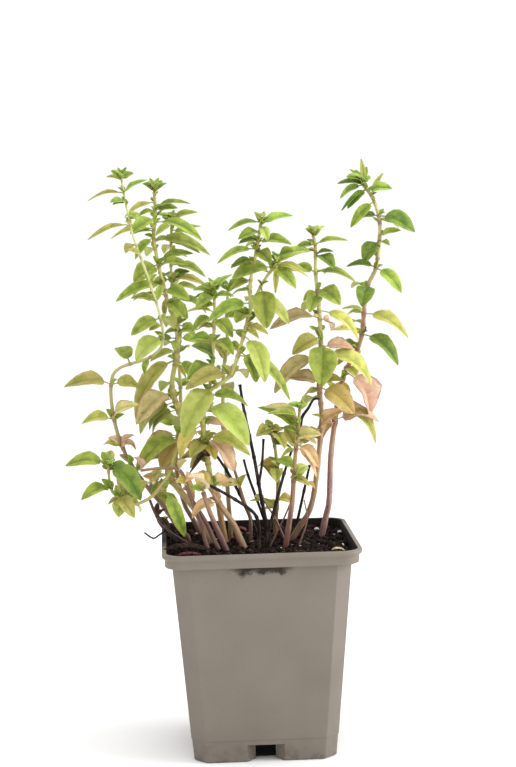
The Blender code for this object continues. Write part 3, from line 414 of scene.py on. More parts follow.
# The leaves that fill the gaps between those listed on the shoots: number of the node's shoot,
# height of the leaf's node, reach of its tip in X, Y and Z, breadth and the letter of its Age
SMALLER_LEAVES = {
    "far_left_stem": [
        (0, 143, -10, 2, 1, 6, "O"), (0, 146, 7, 3, -4, 5, "P"), (0, 187, -3, 2, -8, 4, "F"),
        (0, 270, -7, -2, 2, 3, "O"), (0, 260, -6, -3, -1, 5, "D"), (0, 202, -6, -3, -2, 5, "L")],
    "tall_left_stem": [
        (1, 137, 10, 5, -3, 6, "D"), (1, 121, -7, 2, -2, 4, "O"), (0, 166, -17, 8, -18, 14, "L"),
        (0, 188, -13, -3, -4, 5, "L"), (0, 182, 5, -2, -6, 3, "O"), (0, 166, 2, 2, -8, 4, "G"),
        (0, 138, -15, 7, -6, 7, "O"), (0, 128, -11, 2, -2, 3, "B"), (0, 126, -6, -2, -5, 3, "F"),
        (0, 263, 6, -2, 6, 5, "F"), (0, 256, -9, -3, -3, 4, "F"), (0, 246, -10, 3, -1, 3, "F"),
        (0, 221, -3, -3, -8, 4, "L"), (0, 220, -15, 4, -4, 3, "O"), (0, 215, -16, 5, -2, 3, "O"),
        (0, 215, -1, 3, -10, 3, "O"), (0, 211, 9, -3, -7, 8, "F"), (0, 198, -7, -3, -1, 4, "F"),
        (0, 144, 9, -4, -9, 8, "G")],
    "dry_twig": [
        (0, 112, 3, -2, -7, 3, "W")],
    "forked_stem": [
        (0, 171, -12, 5, -6, 6, "F"), (0, 155, 12, 5, -5, 5, "P"), (0, 155, -11, 6, -17, 9, "G"),
        (0, 139, -14, 4, -3, 8, "B"), (0, 142, -8, 3, -7, 5, "O"), (0, 148, -4, 3, 3, 4, "G"),
        (2, 207, -13, 4, 1, 3, "O"), (2, 215, -10, 3, -1, 3, "D"), (2, 211, -6, -2, -1, 5, "F"),
        (2, 200, -8, 3, -1, 5, "B"), (1, 232, -11, 3, -3, 5, "D"), (1, 241, -9, -3, -1, 5, "D"),
        (1, 240, -6, 2, -3, 4, "O"), (1, 223, -9, -2, -4, 6, "F"), (1, 218, -9, 4, -3, 3, "F"),
        (1, 248, 3, -3, -7, 5, "L"), (1, 240, 15, -6, -1, 8, "F"), (0, 229, 15, -4, -5, 3, "O"),
        (0, 230, -1, -3, -13, 3, "O"), (0, 226, -7, 3, 2, 3, "F"), (0, 206, -9, 3, 0, 8, "F"),
        (0, 203, 5, 3, 5, 5, "D"), (0, 201, 10, -4, -3, 5, "O"), (0, 200, 6, -3, -4, 4, "O"),
        (0, 190, 8, 4, -15, 10, "F"), (0, 139, -9, -3, -5, 4, "W")],
    "mid_thin_stem": [
        (0, 157, -8, 3, 2, 5, "D")],
    "left_back_stem": [
        (0, 128, 8, -2, -14, 5, "R"), (0, 249, -8, -3, -5, 5, "L"), (0, 246, 15, -4, -5, 3, "F"),
        (0, 240, 14, -5, -5, 5, "D"), (0, 235, 8, 2, -2, 3, "L"), (0, 222, 9, 3, 4, 6, "D"),
        (0, 222, 17, -2, -3, 5, "O"), (0, 218, 13, -4, -1, 5, "L"), (0, 150, 4, -6, -8, 8, "P")],
    "small_centre_stem": [
        (0, 111, -6, 2, -1, 5, "G"), (0, 111, -13, 4, 3, 3, "O"), (0, 147, -8, -3, 1, 6, "O"),
        (0, 126, -7, -3, 7, 5, "O"), (0, 142, 8, -3, -1, 3, "D"), (0, 124, -8, -3, 8, 7, "O"),
        (0, 115, 7, -3, -1, 7, "G")],
    "mid_right_stem": [
        (0, 235, -17, -3, -4, 5, "O"), (0, 242, -4, -1, 4, 4, "F"), (0, 242, 6, -1, 5, 3, "L"),
        (0, 233, 8, -2, 2, 4, "D"), (0, 216, -7, -2, -4, 5, "L"), (0, 176, -17, 4, -4, 4, "B"),
        (0, 121, -4, -2, 4, 4, "G"), (0, 153, -5, -3, 5, 3, "O"), (0, 150, -9, -3, -6, 7, "O")],
    "right_tall_stem": [
        (0, 187, -10, -4, -7, 6, "O"), (0, 173, 1, -4, -15, 5, "G"), (0, 151, -9, -4, -2, 5, "P"),
        (0, 152, -7, -3, -9, 4, "R"), (0, 266, -13, -3, 1, 5, "D"), (0, 264, -13, -5, -10, 3, "D"),
        (0, 266, -1, 0, 13, 3, "L"), (0, 266, -6, -1, 8, 3, "F"), (0, 261, 7, 1, 11, 3, "O"),
        (0, 241, 10, -3, 3, 5, "L"), (0, 205, -11, -3, 2, 3, "O"), (0, 194, -15, -5, 3, 5, "G"),
        (0, 178, 4, -3, -4, 8, "O")],
    "red_stem": [
        (0, 155, -15, -4, 7, 5, "F"), (0, 143, -7, -2, -3, 3, "O"), (0, 149, 9, -3, -3, 5, "B"),
        (0, 144, 9, -3, -14, 4, "P")],
    "beige_stem": [
        (0, 125, 9, -3, 1, 9, "R")],
}

# Thin stems that stand among the larger ones, and the dry twigs at the pot's left side
UNDERGROWTH = {
    "thin_purple": Shoot([(-15, -14, 88), (-21, -10, 100), (-25, -7, 109), (-32, -4, 121), (-36, -5, 133),
                          (-44, -6, 135), (-55, -5, 134)], 1.1, 0.6,
                         [(121, -4, -3, 4, 6), (133, 3, -4, 6, 7), (134, -3, -3, 7, 7)], ages="RBP"),
    "thin_front": Shoot([(-20, -15, 88), (-25, -11, 99), (-27, -8, 108), (-31, -7, 119), (-34, -8, 128)],
                        1.0, 0.9, [(128, 5, -3, 3, 7), (127, -5, -3, 2, 7)], ages="RG"),
    "thin_middle": Shoot([(-4, 8, 88), (-3, 8, 106), (-6, 9, 116), (-9, 10, 127), (-11, 10, 134)], 0.9, 0.6,
                         [(122, -9, -7, 2, 7), (122, 3, -3, 7, 5), (130, -5, -3, 6, 6)], ages="BOP"),
    "thread_right": Shoot([(15, 1, 88), (13, 2, 97), (9, 3, 107), (5, 4, 114), (3, 5, 118)], 0.5, 0.4,
                          [(116, -5, 4, 2, 4)], ages="O"),
    "thread_middle": Shoot([(2, -5, 88), (6, -6, 97), (12, -7, 109), (15, -8, 116)], 0.45, 0.35),
    "thread_back": Shoot([(16, -11, 88), (19, -10, 97), (23, -8, 108), (22, -7, 118)], 0.4, 0.3),
}
DRY_TWIGS = (
    Shoot([(31, 2, 165), (28, 0, 165), (25, -3, 161), (22, -4, 157), (21, -4, 151)], 0.5, 0.9),
    Shoot([(-44, 0, 104), (-47, -5, 103), (-50, -8, 102), (-54, -9, 105)], 0.5, 0.35),
    Shoot([(-37, -1, 94), (-40, -1, 99), (-44, 0, 104), (-47, 0, 108), (-48, -1, 111)], 0.9, 0.5),
)


def spline_point(points: list[Vector], place: float) -> Vector:
    """Point on the Catmull-Rom curve through a route.

    Args:
        points: the route's points.
        place: where along the route, counted in its points.

    Returns:
        The point on the curve.
    """
    last = len(points) - 1
    index = min(int(place), last - 1)
    t = place - index
    p0, p1, p2, p3 = (points[min(max(index + k, 0), last)] for k in (-1, 0, 1, 2))
    return 0.5 * ((2 * p1) + (p2 - p0) * t + (2 * p0 - 5 * p1 + 4 * p2 - p3) * t * t
                  + (3 * p1 - p0 - 3 * p2 + p3) * t * t * t)


def stem_curve(shoot: Shoot, step: float) -> tuple[list[Vector], list[float]]:
    """Points along a shoot.

    Args:
        shoot: the shoot whose route is followed.
        step: about how far apart the points lie, in millimetres.

    Returns:
        The points, and for each its share of the way from foot to tip.
    """
    points = [Vector(point) for point in shoot.route]
    places = []
    for index in range(len(points) - 1):
        pieces = max(1, round((points[index + 1] - points[index]).length / step))
        places += [index + k / pieces for k in range(pieces)]
    places.append(len(points) - 1)
    return [spline_point(points, place) for place in places], [p / places[-1] for p in places]


def node_on_stem(shoot: Shoot, height: float) -> Vector:
    """The point where the shoot last passes a height in millimetres, or its tip.

    Args:
        shoot: the shoot.
        height: the height.

    Returns:
        A point on its middle line.
    """
    curve, _ = stem_curve(shoot, NODE_SEARCH_STEP)
    for low, high in zip(reversed(curve[:-1]), reversed(curve)):
        if (low.z - height) * (high.z - height) <= 0 and low.z != high.z:
            return low.lerp(high, (height - low.z) / (high.z - low.z))
    return curve[-1]


@dataclass
class Leaf:
    """One leaf: the node it grows from, the reach of its tip and its breadth, in millimetres."""

    root: Vector
    reach: Vector
    breadth: float
    facing: Vector
    arch: float
    age: Age = Age.FRESH

    def axes(self) -> tuple[Vector, Vector, Vector]:
        """Unit vectors along the leaf, across it and out of its upper face.

        Returns:
            The three vectors, in that order.
        """
        along = self.reach.normalized()
        across = along.cross(self.facing)
        if across.length < SMALLEST_ACROSS:
            across = along.cross(SPARE_FACING)
        across.normalize()
        return along, across, across.cross(along)

    def middle(self, t: float) -> Vector:
        """Point on the midrib at t, from 0 at the stem's axis to 1 at the tip.

        Args:
            t: the share of the way.

        Returns:
            The point.
        """
        along, _, up = self.axes()
        bow = self.arch * self.reach.length * math.sin(math.pi * t ** ARCH_LEAN)
        return self.root + self.reach * t + up * bow - along * ROOT_PAST_AXIS * (1 - t)

    def half_breadth(self, t: float) -> float:
        """Half the blade's breadth at t: a thin stalk, then an ovate blade.

        Args:
            t: the share of the way from the stem's axis to the tip.

        Returns:
            The half breadth.
        """
        if t <= PETIOLE_SHARE:
            return PETIOLE_HALF
        u = (t - PETIOLE_SHARE) / (1 - PETIOLE_SHARE)
        ovate = math.sin(math.pi * u ** OUTLINE_LEAN) ** OUTLINE_FULLNESS
        return max(PETIOLE_HALF, 0.5 * BREADTH_SCALE * self.breadth * ovate)

    def row(self, t: float, across_places: tuple[float, ...]) -> list[Vector]:
        """Points across the blade at t, from -1 at its left margin to 1 at its right.

        Args:
            t: the share of the way from the stem's axis to the tip.
            across_places: shares of the half breadth.

        Returns:
            A point for each place.
        """
        _, across, up = self.axes()
        centre = self.middle(t)
        half = self.half_breadth(t)
        return [centre + across * (place * half * math.cos(FOLD)) + up * (abs(place) * half * math.sin(FOLD))
                for place in across_places]

    def samples(self) -> list[Vector]:
        """Points all over the blade, for keeping clear of other leaves."""
        steps = max(4, round(self.reach.length / SAMPLE_STEP))
        return [p for k in range(1, steps + 1) for p in self.row(k / steps, SAMPLE_PLACES)]


def youth(height: float) -> float:
    """How young a leaf at this height is, from 0 low on the plant to 1 near its top."""
    return min(1.0, max(0.0, (height - OLD_HEIGHT) / (YOUNG_HEIGHT - OLD_HEIGHT)))


def between(old: float, young: float, share: float) -> float:
    """Value part of the way from the old leaves' to the young ones'."""
    return old + (young - old) * share


def traced_leaf(shoot: Shoot, values: tuple[float, ...], letter: str, draw: random.Random) -> Leaf:
    """A leaf listed on a shoot, turned to the front or back as far as its length asks.

    Args:
        shoot: the shoot it grows on.
        values: height, reach in X, Y and Z, and breadth, in millimetres.
        letter: the value of its Age.
        draw: the layout's random numbers.

    Returns:
        The leaf.
    """
    height, x, y, z, breadth = values
    share = youth(height)
    length = min(between(OLD_LENGTH, YOUNG_LENGTH, share), LENGTH_PER_BREADTH * breadth)
    spare = math.sqrt(max(0.0, length ** 2 - x ** 2 - z ** 2))
    reach = Vector((x, math.copysign(max(abs(y), DEPTH_SHARE * spare), y), z))
    roll = Vector((draw.uniform(-FACING_SPREAD, FACING_SPREAD),
                   draw.uniform(-FACING_SPREAD, FACING_SPREAD), 0.0))
    return Leaf(node_on_stem(shoot, height), reach, breadth, LEAF_FACING + roll,
                between(OLD_ARCH, YOUNG_ARCH, share), Age(letter))


def outward_reach(turn: float, rise: float, length: float) -> Vector:
    """Vector of a length that points away from the stem at a turn, raised by an angle."""
    flat = Vector((math.cos(turn), math.sin(turn), 0.0))
    return (flat * math.cos(rise) + Vector((0.0, 0.0, 1.0)) * math.sin(rise)) * length


def rosette_leaves(shoot: Shoot, draw: random.Random) -> list[Leaf]:
    """The small steep leaves round a shoot's tip.

    Args:
        shoot: the shoot.
        draw: the seeded random draw.

    Returns:
        The leaves.
    """
    top = Vector(shoot.route[-1]) - Vector((0.0, 0.0, ROSETTE_SINK))
    leaves = []
    for k in range(ROSETTE_LEAVES):
        turn = (k + ROSETTE_START) * 2 * math.pi / ROSETTE_LEAVES
        turn += draw.uniform(-ROSETTE_SWING, ROSETTE_SWING)
        rise = math.radians(draw.uniform(*ROSETTE_RISE))
        length = shoot.rosette * draw.uniform(*ROSETTE_LENGTHS)
        reach = outward_reach(turn, rise, length)
        leaves.append(Leaf(top, reach, length * ROSETTE_BREADTH, LEAF_FACING, YOUNG_ARCH, Age.YOUNG))
    return leaves


def back_leaves(shoot: Shoot, draw: random.Random) -> list[Leaf]:
    """Leaves that point to the back, between the pairs seen at the sides.

    Args:
        shoot: the shoot.
        draw: the seeded random draw.

    Returns:
        The leaves.
    """
    low, high = shoot.back
    leaves = []
    height = low + draw.uniform(*BACK_START)
    while height < high:
        share = (height - low) / (high - low)
        turn = math.pi / 2 + draw.uniform(-BACK_TURN, BACK_TURN)
        length = between(*BACK_LENGTHS, share) * draw.uniform(*BACK_SPREAD)
        reach = outward_reach(turn, -math.radians(draw.uniform(*BACK_FALL)), length)
        leaves.append(Leaf(node_on_stem(shoot, height), reach, length * BACK_BREADTH, BACK_FACING,
                           between(OLD_ARCH, YOUNG_ARCH, share)))
        height += draw.uniform(*BACK_STEP)
    return leaves


def smaller_leaves(name: str, shoots: list[Shoot]) -> list[Leaf]:
    """The leaves that fill the gaps on one node's shoots.

    Args:
        name: the node's name.
        shoots: its shoots.

    Returns:
        The leaves.
    """
    return [Leaf(node_on_stem(shoots[index], height), Vector((x, y, z)), breadth, LEAF_FACING,
                 between(OLD_ARCH, YOUNG_ARCH, youth(height)), Age(letter))
            for index, height, x, y, z, breadth, letter in SMALLER_LEAVES.get(name, ())]


class Crowd:
    """Keeps count of the space that stems and leaves take, so that they stay clear."""

    def __init__(self, plant: dict[str, list[Shoot]]) -> None:
        """Start with every stem's own points.

        Args:
            plant: the shoots of each node.
        """
        self.points = np.empty((0, 3))
        self.radii = np.empty(0)
        self.owners = np.empty(0, dtype=int)
        self.names = list(plant)
        for owner, shoots in plant.items():
            for shoot in shoots:
                curve, shares = stem_curve(shoot, CROWD_STEP)
                for point, share in zip(curve, shares):
                    self.take([point], shoot.radius(share) + STEM_CLEARANCE, owner)
        self.stem_count = len(self.radii)

    def take(self, points: list[Vector], radius: float, owner: str) -> None:
        """Add points that later leaves must keep a radius from.

        Args:
            points: the middles of the space.
            radius: how far other leaves keep from them.
            owner: the node that it belongs to.
        """
        self.points = np.vstack([self.points, [tuple(point) for point in points]])
        self.radii = np.append(self.radii, [radius] * len(points))
        self.owners = np.append(self.owners, [self.names.index(owner)] * len(points))

    def is_clear(self, leaf: Leaf, owner: str, with_own: bool) -> bool:
        """Whether the leaf lies clear of the other nodes, the pot's rim and, if asked, its own.

        Args:
            leaf: the leaf as it would lie.
            owner: the node that it grows on.
            with_own: whether it also keeps off that node's other leaves.

        Returns:
            True if it lies clear.
        """
        samples = np.array([tuple(point) for point in leaf.samples()])
        near_rim = ((samples[:, 2] < RIM_GUARD_HEIGHT)
                    & (np.abs(samples[:, :2]).max(axis=1) < RIM_GUARD_HALF))
        if near_rim.any():
            return False
        gaps = np.linalg.norm(samples[:, None] - self.points[None], axis=2)
        other = self.owners != self.names.index(owner)
        if (gaps[:, other] < self.radii[other]).any():
            return False
        if not with_own:
            return True
        own = ~other
        own[:self.stem_count] = False
        outer = samples[int(len(samples) * OWN_FROM):]
        gaps = gaps[len(samples) - len(outer):, own]
        return not (gaps < OWN_CLEARANCE).any()

    def settle(self, leaf: Leaf, owner: str) -> bool:
        """Shift the leaf's tip in depth until it is clear, and take its space.

        Args:
            leaf: the leaf, whose reach is changed.
            owner: the node that it grows on.

        Returns:
            True if it found space; if not, its reach stays as last tried.
        """
        wanted = leaf.reach.copy()
        for with_own in (True, False):
            for shift in DEPTH_SHIFTS:
                leaf.reach = wanted + Vector((0, shift, 0))
                if self.is_clear(leaf, owner, with_own):
                    self.take(leaf.samples(), LEAF_CLEARANCE, owner)
                    return True
        return False


def plan_leaves(plant: dict[str, list[Shoot]]) -> dict[str, list[Leaf]]:
    """All leaves: the smaller ones, and of the others each that finds clear space.

    Args:
        plant: the shoots of each node.

    Returns:
        Each node's leaves.
    """
    crowd = Crowd({**plant, **DEAD})
    draw = random.Random(SEED)
    planned = {name: [] for name in plant}
    for name, shoots in plant.items():
        for shoot in shoots:
            traced = [traced_leaf(shoot, values, letter, draw)
                      for values, letter in zip(shoot.leaves, shoot.ages)]
            planned[name] += [leaf for leaf in traced if crowd.settle(leaf, name)]
    for name, shoots in plant.items():
        for shoot in shoots:
            extra = rosette_leaves(shoot, draw) if shoot.rosette else []
            extra += back_leaves(shoot, draw) if shoot.back else []
            planned[name] += [leaf for leaf in extra if crowd.settle(leaf, name)]
    for name, shoots in plant.items():
        for leaf in smaller_leaves(name, shoots):
            wanted = leaf.reach.copy()
            if not crowd.settle(leaf, name):
                leaf.reach = wanted
            planned[name].append(leaf)
    return planned


def linear(code: str) -> tuple[float, float, float, float]:
    """An sRGB hex value as linear red, green, blue and alpha."""
    values = [int(code[k:k + 2], 16) / 255 for k in (0, 2, 4)]
    return (*[v / 12.92 if v <= 0.04045 else ((v + 0.055) / 1.055) ** 2.4 for v in values], 1.0)


def per_mm(size: float) -> float:
    """Texture scale in metres of Object coordinates for a pattern of a size in millimetres."""
    return 1 / (size * MM)


def set_inputs(node: bpy.types.Node, inputs: dict) -> None:
    """Link or set a node's inputs.

    Args:
        node: the node, which may be a material's shader.
        inputs: for an input's name or index, a node or socket to link or a value to set.
    """
    for key, value in inputs.items():
        if isinstance(value, bpy.types.Node):
            value = next(socket for socket in value.outputs if socket.enabled)
        if isinstance(value, bpy.types.NodeSocket):
            node.id_data.links.new(value, node.inputs[key])
        else:
            node.inputs[key].default_value = value


def add_node(tree: bpy.types.NodeTree, kind: str, inputs: dict, **settings: object) -> bpy.types.Node:
    """Add a shader node with its settings, and link or set its inputs.

    Args:
        tree: the material's node tree.
        kind: the node's type name, without ShaderNode before it.
        inputs: as for set_inputs.
        **settings: the node's own properties.

    Returns:
        The node.
    """
    made = tree.nodes.new(f"ShaderNode{kind}")
    for name, value in settings.items():
        setattr(made, name, value)
    set_inputs(made, inputs)
    return made


def new_material(name: str) -> tuple[bpy.types.Material, Callable[..., bpy.types.Node], bpy.types.Node]:
    """Start a material.

    Args:
        name: what the real material is called.

    Returns:
        The material, add_node for its own tree, and its Principled shader.
    """
    material = bpy.data.materials.new(name)
    material.use_nodes = True
    tree = material.node_tree
    return material, partial(add_node, tree), tree.nodes["Principled BSDF"]


def leaf_material(age: Age) -> bpy.types.Material:
    """Herb leaf of one age: a soft hairy blade, paler below, with a sunken net of veins.

    The matt hairs spread the gloss, light shines through the thin blade, and the edges
    pale, brown and dry first. The fuzz is drawn ten times coarser than the real hairs.

    Args:
        age: which age's finish is used.

    Returns:
        The material, which reads the blade's UV map and its shade.
    """
    finish = LEAF_FINISHES[age]
    material, node, shader = new_material(f"oregano_leaf_{age.name.lower()}")
    place = node("TexCoord", {}).outputs["Object"]
    blade = node("UVMap", {}, uv_map=LEAF_UV)
    parts = node("SeparateXYZ", {0: blade})
    along, around = parts.outputs["X"], parts.outputs["Y"]
    under = node("Math", {0: around, 1: 1.0}, operation="GREATER_THAN")
    turn = node("Math", {0: around}, operation="FRACT")
    sided = node("Math", {0: turn, 1: 2.0, 2: -1.0}, operation="MULTIPLY_ADD")
    across = node("Math", {0: sided}, operation="ABSOLUTE")

    rib = node("MapRange", {"Value": across, "From Min": 0.02, "From Max": 0.13, "To Min": 1.0,
                            "To Max": 0.0})
    leant = node("Math", {0: across, 1: -LEAF_VEIN_LEAN, 2: along}, operation="MULTIPLY_ADD")
    counted = node("Math", {0: leant, 1: LEAF_VEIN_ROWS * 2}, operation="MULTIPLY")
    rows = node("Math", {0: counted, 1: 0.5}, operation="PINGPONG")
    side = node("MapRange", {"Value": rows, "From Min": 0.0, "From Max": 0.16, "To Min": 0.6,
                             "To Max": 0.0})
    veins = node("Math", {0: rib, 1: side}, operation="MAXIMUM")
    veined = node("Math", {0: veins, 1: VEIN_SHOW}, operation="MULTIPLY")

    cloud = node("TexNoise", {"Vector": place, "Scale": per_mm(4.0), "Detail": 2.0})
    deep = node("Math", {0: across, 1: -0.22, 2: cloud.outputs["Fac"]}, operation="MULTIPLY_ADD")
    patch = node("MapRange", {"Value": deep, "From Min": 0.26, "From Max": 0.52})
    frayed = node("Math", {0: cloud, 1: 0.30, 2: across}, operation="MULTIPLY_ADD")
    edge = node("MapRange", {"Value": frayed, "From Min": finish.edge_reach + 0.18,
                             "From Max": finish.edge_reach + 0.34})
    dots = node("TexNoise", {"Vector": place, "Scale": per_mm(1.3), "Detail": 1.0})
    specks = node("MapRange", {"Value": dots, "From Min": 0.66, "From Max": 0.74, "To Max": finish.specks})
    colour = linear(finish.upper)
    for mask, code in ((patch, finish.blotch), (under, finish.under), (veined, finish.vein),
                       (edge, finish.edge), (specks, SPECK_COLOUR)):
        colour = node("Mix", {FACTOR: mask, COLOUR_A: colour, COLOUR_B: linear(code)}, data_type="RGBA")
    shade = node("Attribute", {}, attribute_name=SHADE).outputs["Fac"]
    hue = node("Math", {0: shade, 1: 0.014, 2: 0.5}, operation="MULTIPLY_ADD")
    value = node("Math", {0: shade, 1: 0.20, 2: 1.0}, operation="MULTIPLY_ADD")
    tinted = node("HueSaturation", {"Hue": hue, "Value": value, "Color": colour})

    fuzz = node("TexNoise", {"Vector": place, "Scale": per_mm(1.2), "Detail": 1.0})
    relief = node("Math", {0: veins, 1: -2.2, 2: fuzz.outputs["Fac"]}, operation="MULTIPLY_ADD")
    bump = node("Bump", {"Strength": 0.5, "Distance": 0.12 * MM, "Height": relief})
    set_inputs(shader, {"Base Color": tinted, "Normal": bump, "Roughness": finish.roughness,
                        "Specular IOR Level": 0.3, "Subsurface Weight": 0.14,
                        "Subsurface Radius": (0.9, 1.0, 0.4), "Subsurface Scale": 0.5 * MM})
    return material


def living_stem_material(name: str, tone: StemTone) -> bpy.types.Material:
    """Young herb stem: waxy and faintly hairy, streaked lengthwise, woody at its foot.

    The streaks of purple and straw give the old wood its grain, about a third of the stem's
    girth wide, and the skin turns green and even towards the crown.

    Args:
        name: the node that the stem belongs to.
        tone: its colours from the soil up.

    Returns:
        The material, which reads the stem's height, its grain and its joints.
    """
    material, node, shader = new_material(f"herb_stem_{name}")
    place = node("TexCoord", {}).outputs["Object"]
    height = node("SeparateXYZ", {0: place}).outputs["Z"]
    grain = node("Attribute", {}, attribute_name=GRAIN).outputs["Vector"]
    drawn = node("Mapping", {"Vector": grain, "Scale": (1.0, 1.0, 0.07)})
    streak = node("TexNoise", {"Vector": drawn, "Scale": 1.3, "Detail": 2.0})
    wander = node("Math", {0: streak, 1: 14 * MM, 2: height}, operation="MULTIPLY_ADD")
    lower = node("MapRange", {"Value": wander, "From Min": (tone.low - 2) * MM,
                              "From Max": (tone.low + 20) * MM})
    upper = node("MapRange", {"Value": wander, "From Min": (tone.high - 4) * MM,
                              "From Max": (tone.high + 22) * MM})
    fading = node("MapRange", {"Value": height, "From Min": 96 * MM, "From Max": tone.high * MM,
                               "To Min": 0.85, "To Max": 0.25})
    dark_band = node("MapRange", {"Value": streak, "From Min": 0.52, "From Max": 0.62, "To Max": fading})
    pale_band = node("MapRange", {"Value": streak, "From Min": 0.46, "From Max": 0.36, "To Max": 0.3})
    joint = node("Attribute", {}, attribute_name=JOINT).outputs["Fac"]
    stain = node("Math", {0: joint, 1: 0.75}, operation="MULTIPLY")
    by_soil = node("MapRange", {"Value": height, "From Min": 96 * MM, "From Max": 112 * MM, "To Min": 0.6,
                               "To Max": 0.0})
    colour = linear(tone.foot)
    for mask, code in ((lower, tone.middle), (upper, tone.crown), (dark_band, tone.joint),
                       (pale_band, STRAW), (stain, tone.joint), (by_soil, FOOT_STAIN)):
        colour = node("Mix", {FACTOR: mask, COLOUR_A: colour, COLOUR_B: linear(code)}, data_type="RGBA")
    bump = node("Bump", {"Strength": 0.5, "Distance": 0.18 * MM, "Height": streak})
    set_inputs(shader, {"Base Color": colour, "Normal": bump, "Roughness": 0.5, "Specular IOR Level": 0.4})
    return material


@dataclass(frozen=True)
class GrainFinish:
    """A dry plant or soil material: two colours, their grain in millimetres, roughness and relief.

    stretch draws the grain out along +Z, and below damp millimetres the matter is wet and dark.
    """

    name: str
    dark: str
    light: str
    grain: float
    stretch: float
    light_from: float
    roughness: float
    relief: float
    damp: float = 0.0


PEAT = GrainFinish("moist_peat", "0b0605", "36241c", 1.0, 1.0, 0.55, 0.92, 0.5, damp=91.0)
BARK = GrainFinish("pine_bark", "170e0c", "4b332c", 1.2, 0.3, 0.54, 0.80, 0.4)
PALE_WOOD = GrainFinish("pale_wood_chip", "8f7658", "c4ae90", 0.8, 0.3, 0.42, 0.70, 0.2)
RED_BARK = GrainFinish("red_bark_chip", "3a1c1a", "7e4b44", 0.9, 0.4, 0.50, 0.70, 0.3)
ROOTLET = GrainFinish("dry_rootlet", "3b2a22", "917864", 1.6, 0.5, 0.46, 0.80, 0.1)
PERLITE = GrainFinish("perlite", "a09992", "d6d2cd", 0.6, 1.0, 0.42, 0.85, 0.3)
DEAD_STALK = GrainFinish("dead_stalk", "1c1513", "554843", 0.7, 0.1, 0.54, 0.70, 0.25)


def grain_material(finish: GrainFinish) -> bpy.types.Material:
    """Dry or earthy matter: matt, with a grain of two colours, darker where it is wet.

    Args:
        finish: its colours, grain and roughness.

    Returns:
        The material, which reads each scrap's shade.
    """
    material, node, shader = new_material(finish.name)
    place = node("TexCoord", {}).outputs["Object"]
    drawn = node("Mapping", {"Vector": place, "Scale": (1.0, 1.0, finish.stretch)})
    grain = node("TexNoise", {"Vector": drawn, "Scale": per_mm(finish.grain), "Detail": 5.0,
                              "Roughness": 0.6})
    light = node("MapRange", {"Value": grain, "From Min": finish.light_from - 0.10,
                              "From Max": finish.light_from + 0.16})
    mixed = node("Mix", {FACTOR: light, COLOUR_A: linear(finish.dark), COLOUR_B: linear(finish.light)},
                 data_type="RGBA")
    height = node("SeparateXYZ", {0: place}).outputs["Z"]
    dryness = node("MapRange", {"Value": height, "From Min": (finish.damp - 3) * MM,
                                "From Max": finish.damp * MM, "To Min": 0.2, "To Max": 1.0})
    shade = node("Attribute", {}, attribute_name=SHADE).outputs["Fac"]
    value = node("Math", {0: shade, 1: 0.35, 2: dryness}, operation="MULTIPLY_ADD")
    tinted = node("HueSaturation", {"Value": value, "Color": mixed})
    bump = node("Bump", {"Strength": 0.8, "Distance": finish.relief * MM, "Height": grain})
    set_inputs(shader, {"Base Color": tinted, "Normal": bump, "Roughness": finish.roughness,
                        "Specular IOR Level": 0.15})
    return material


def tube_from_rings(bm: bmesh.types.BMesh, rings: list[list[Vector]], uv: tuple | None = None,
                    closed: bool = True) -> list[bmesh.types.BMVert]:
    """Wrap a grid round rings of points, weld its seam and close its ends.

    Args:
        bm: the mesh that it is added to.
        rings: rings with the same number of points, anticlockwise seen from the last one.
        uv: the UV layer and, for each ring, its place along; the seam runs from 0 to 2 around.
        closed: whether the first and last ring are closed by a face.

    Returns:
        The new vertices.
    """
    sides = len(rings[0])
    before = len(bm.verts)
    made = bmesh.ops.create_grid(bm, x_segments=sides, y_segments=len(rings) - 1, size=1.0)["verts"]
    faces = {face for vert in made for face in vert.link_faces}
    spot = {}
    for number, vert in enumerate(made):
        row, column = divmod(number, sides + 1)
        vert.co = rings[row][column % sides]
        spot[vert] = (row, column)
    if uv is not None:
        layer, places = uv
        for face in faces:
            for loop in face.loops:
                row, column = spot[loop.vert]
                loop[layer].uv = (places[row], 2 * column / sides)
    bmesh.ops.remove_doubles(bm, verts=made, dist=1e-8)
    kept = [vert for vert in made if vert.is_valid]
    if closed:
        rims = {edge for vert in kept for edge in vert.link_edges if edge.is_boundary}
        bmesh.ops.holes_fill(bm, edges=list(rims), sides=0)
    bmesh.ops.recalc_face_normals(bm, faces=list({face for vert in kept for face in vert.link_faces}))
    return kept


def set_layer(verts: list[bmesh.types.BMVert], layer: object, value: float) -> None:
    """Give vertices one value of a float layer."""
    for vert in verts:
        vert[layer] = value


def new_mesh(bm: bmesh.types.BMesh, name: str) -> bpy.types.Mesh:
    """Turn a bmesh into a mesh and free it.

    Args:
        bm: the finished mesh.
        name: the mesh's name.

    Returns:
        The mesh.
    """
    mesh = bpy.data.meshes.new(name)
    bm.to_mesh(mesh)
    bm.free()
    return mesh


def new_object(name: str, data: bpy.types.ID) -> bpy.types.Object:
    """Put a mesh, light or camera into the scene.

    Args:
        name: the object's name.
        data: what it shows.

    Returns:
        The object, at the origin.
    """
    made = bpy.data.objects.new(name, data)
    bpy.context.scene.collection.objects.link(made)
    return made


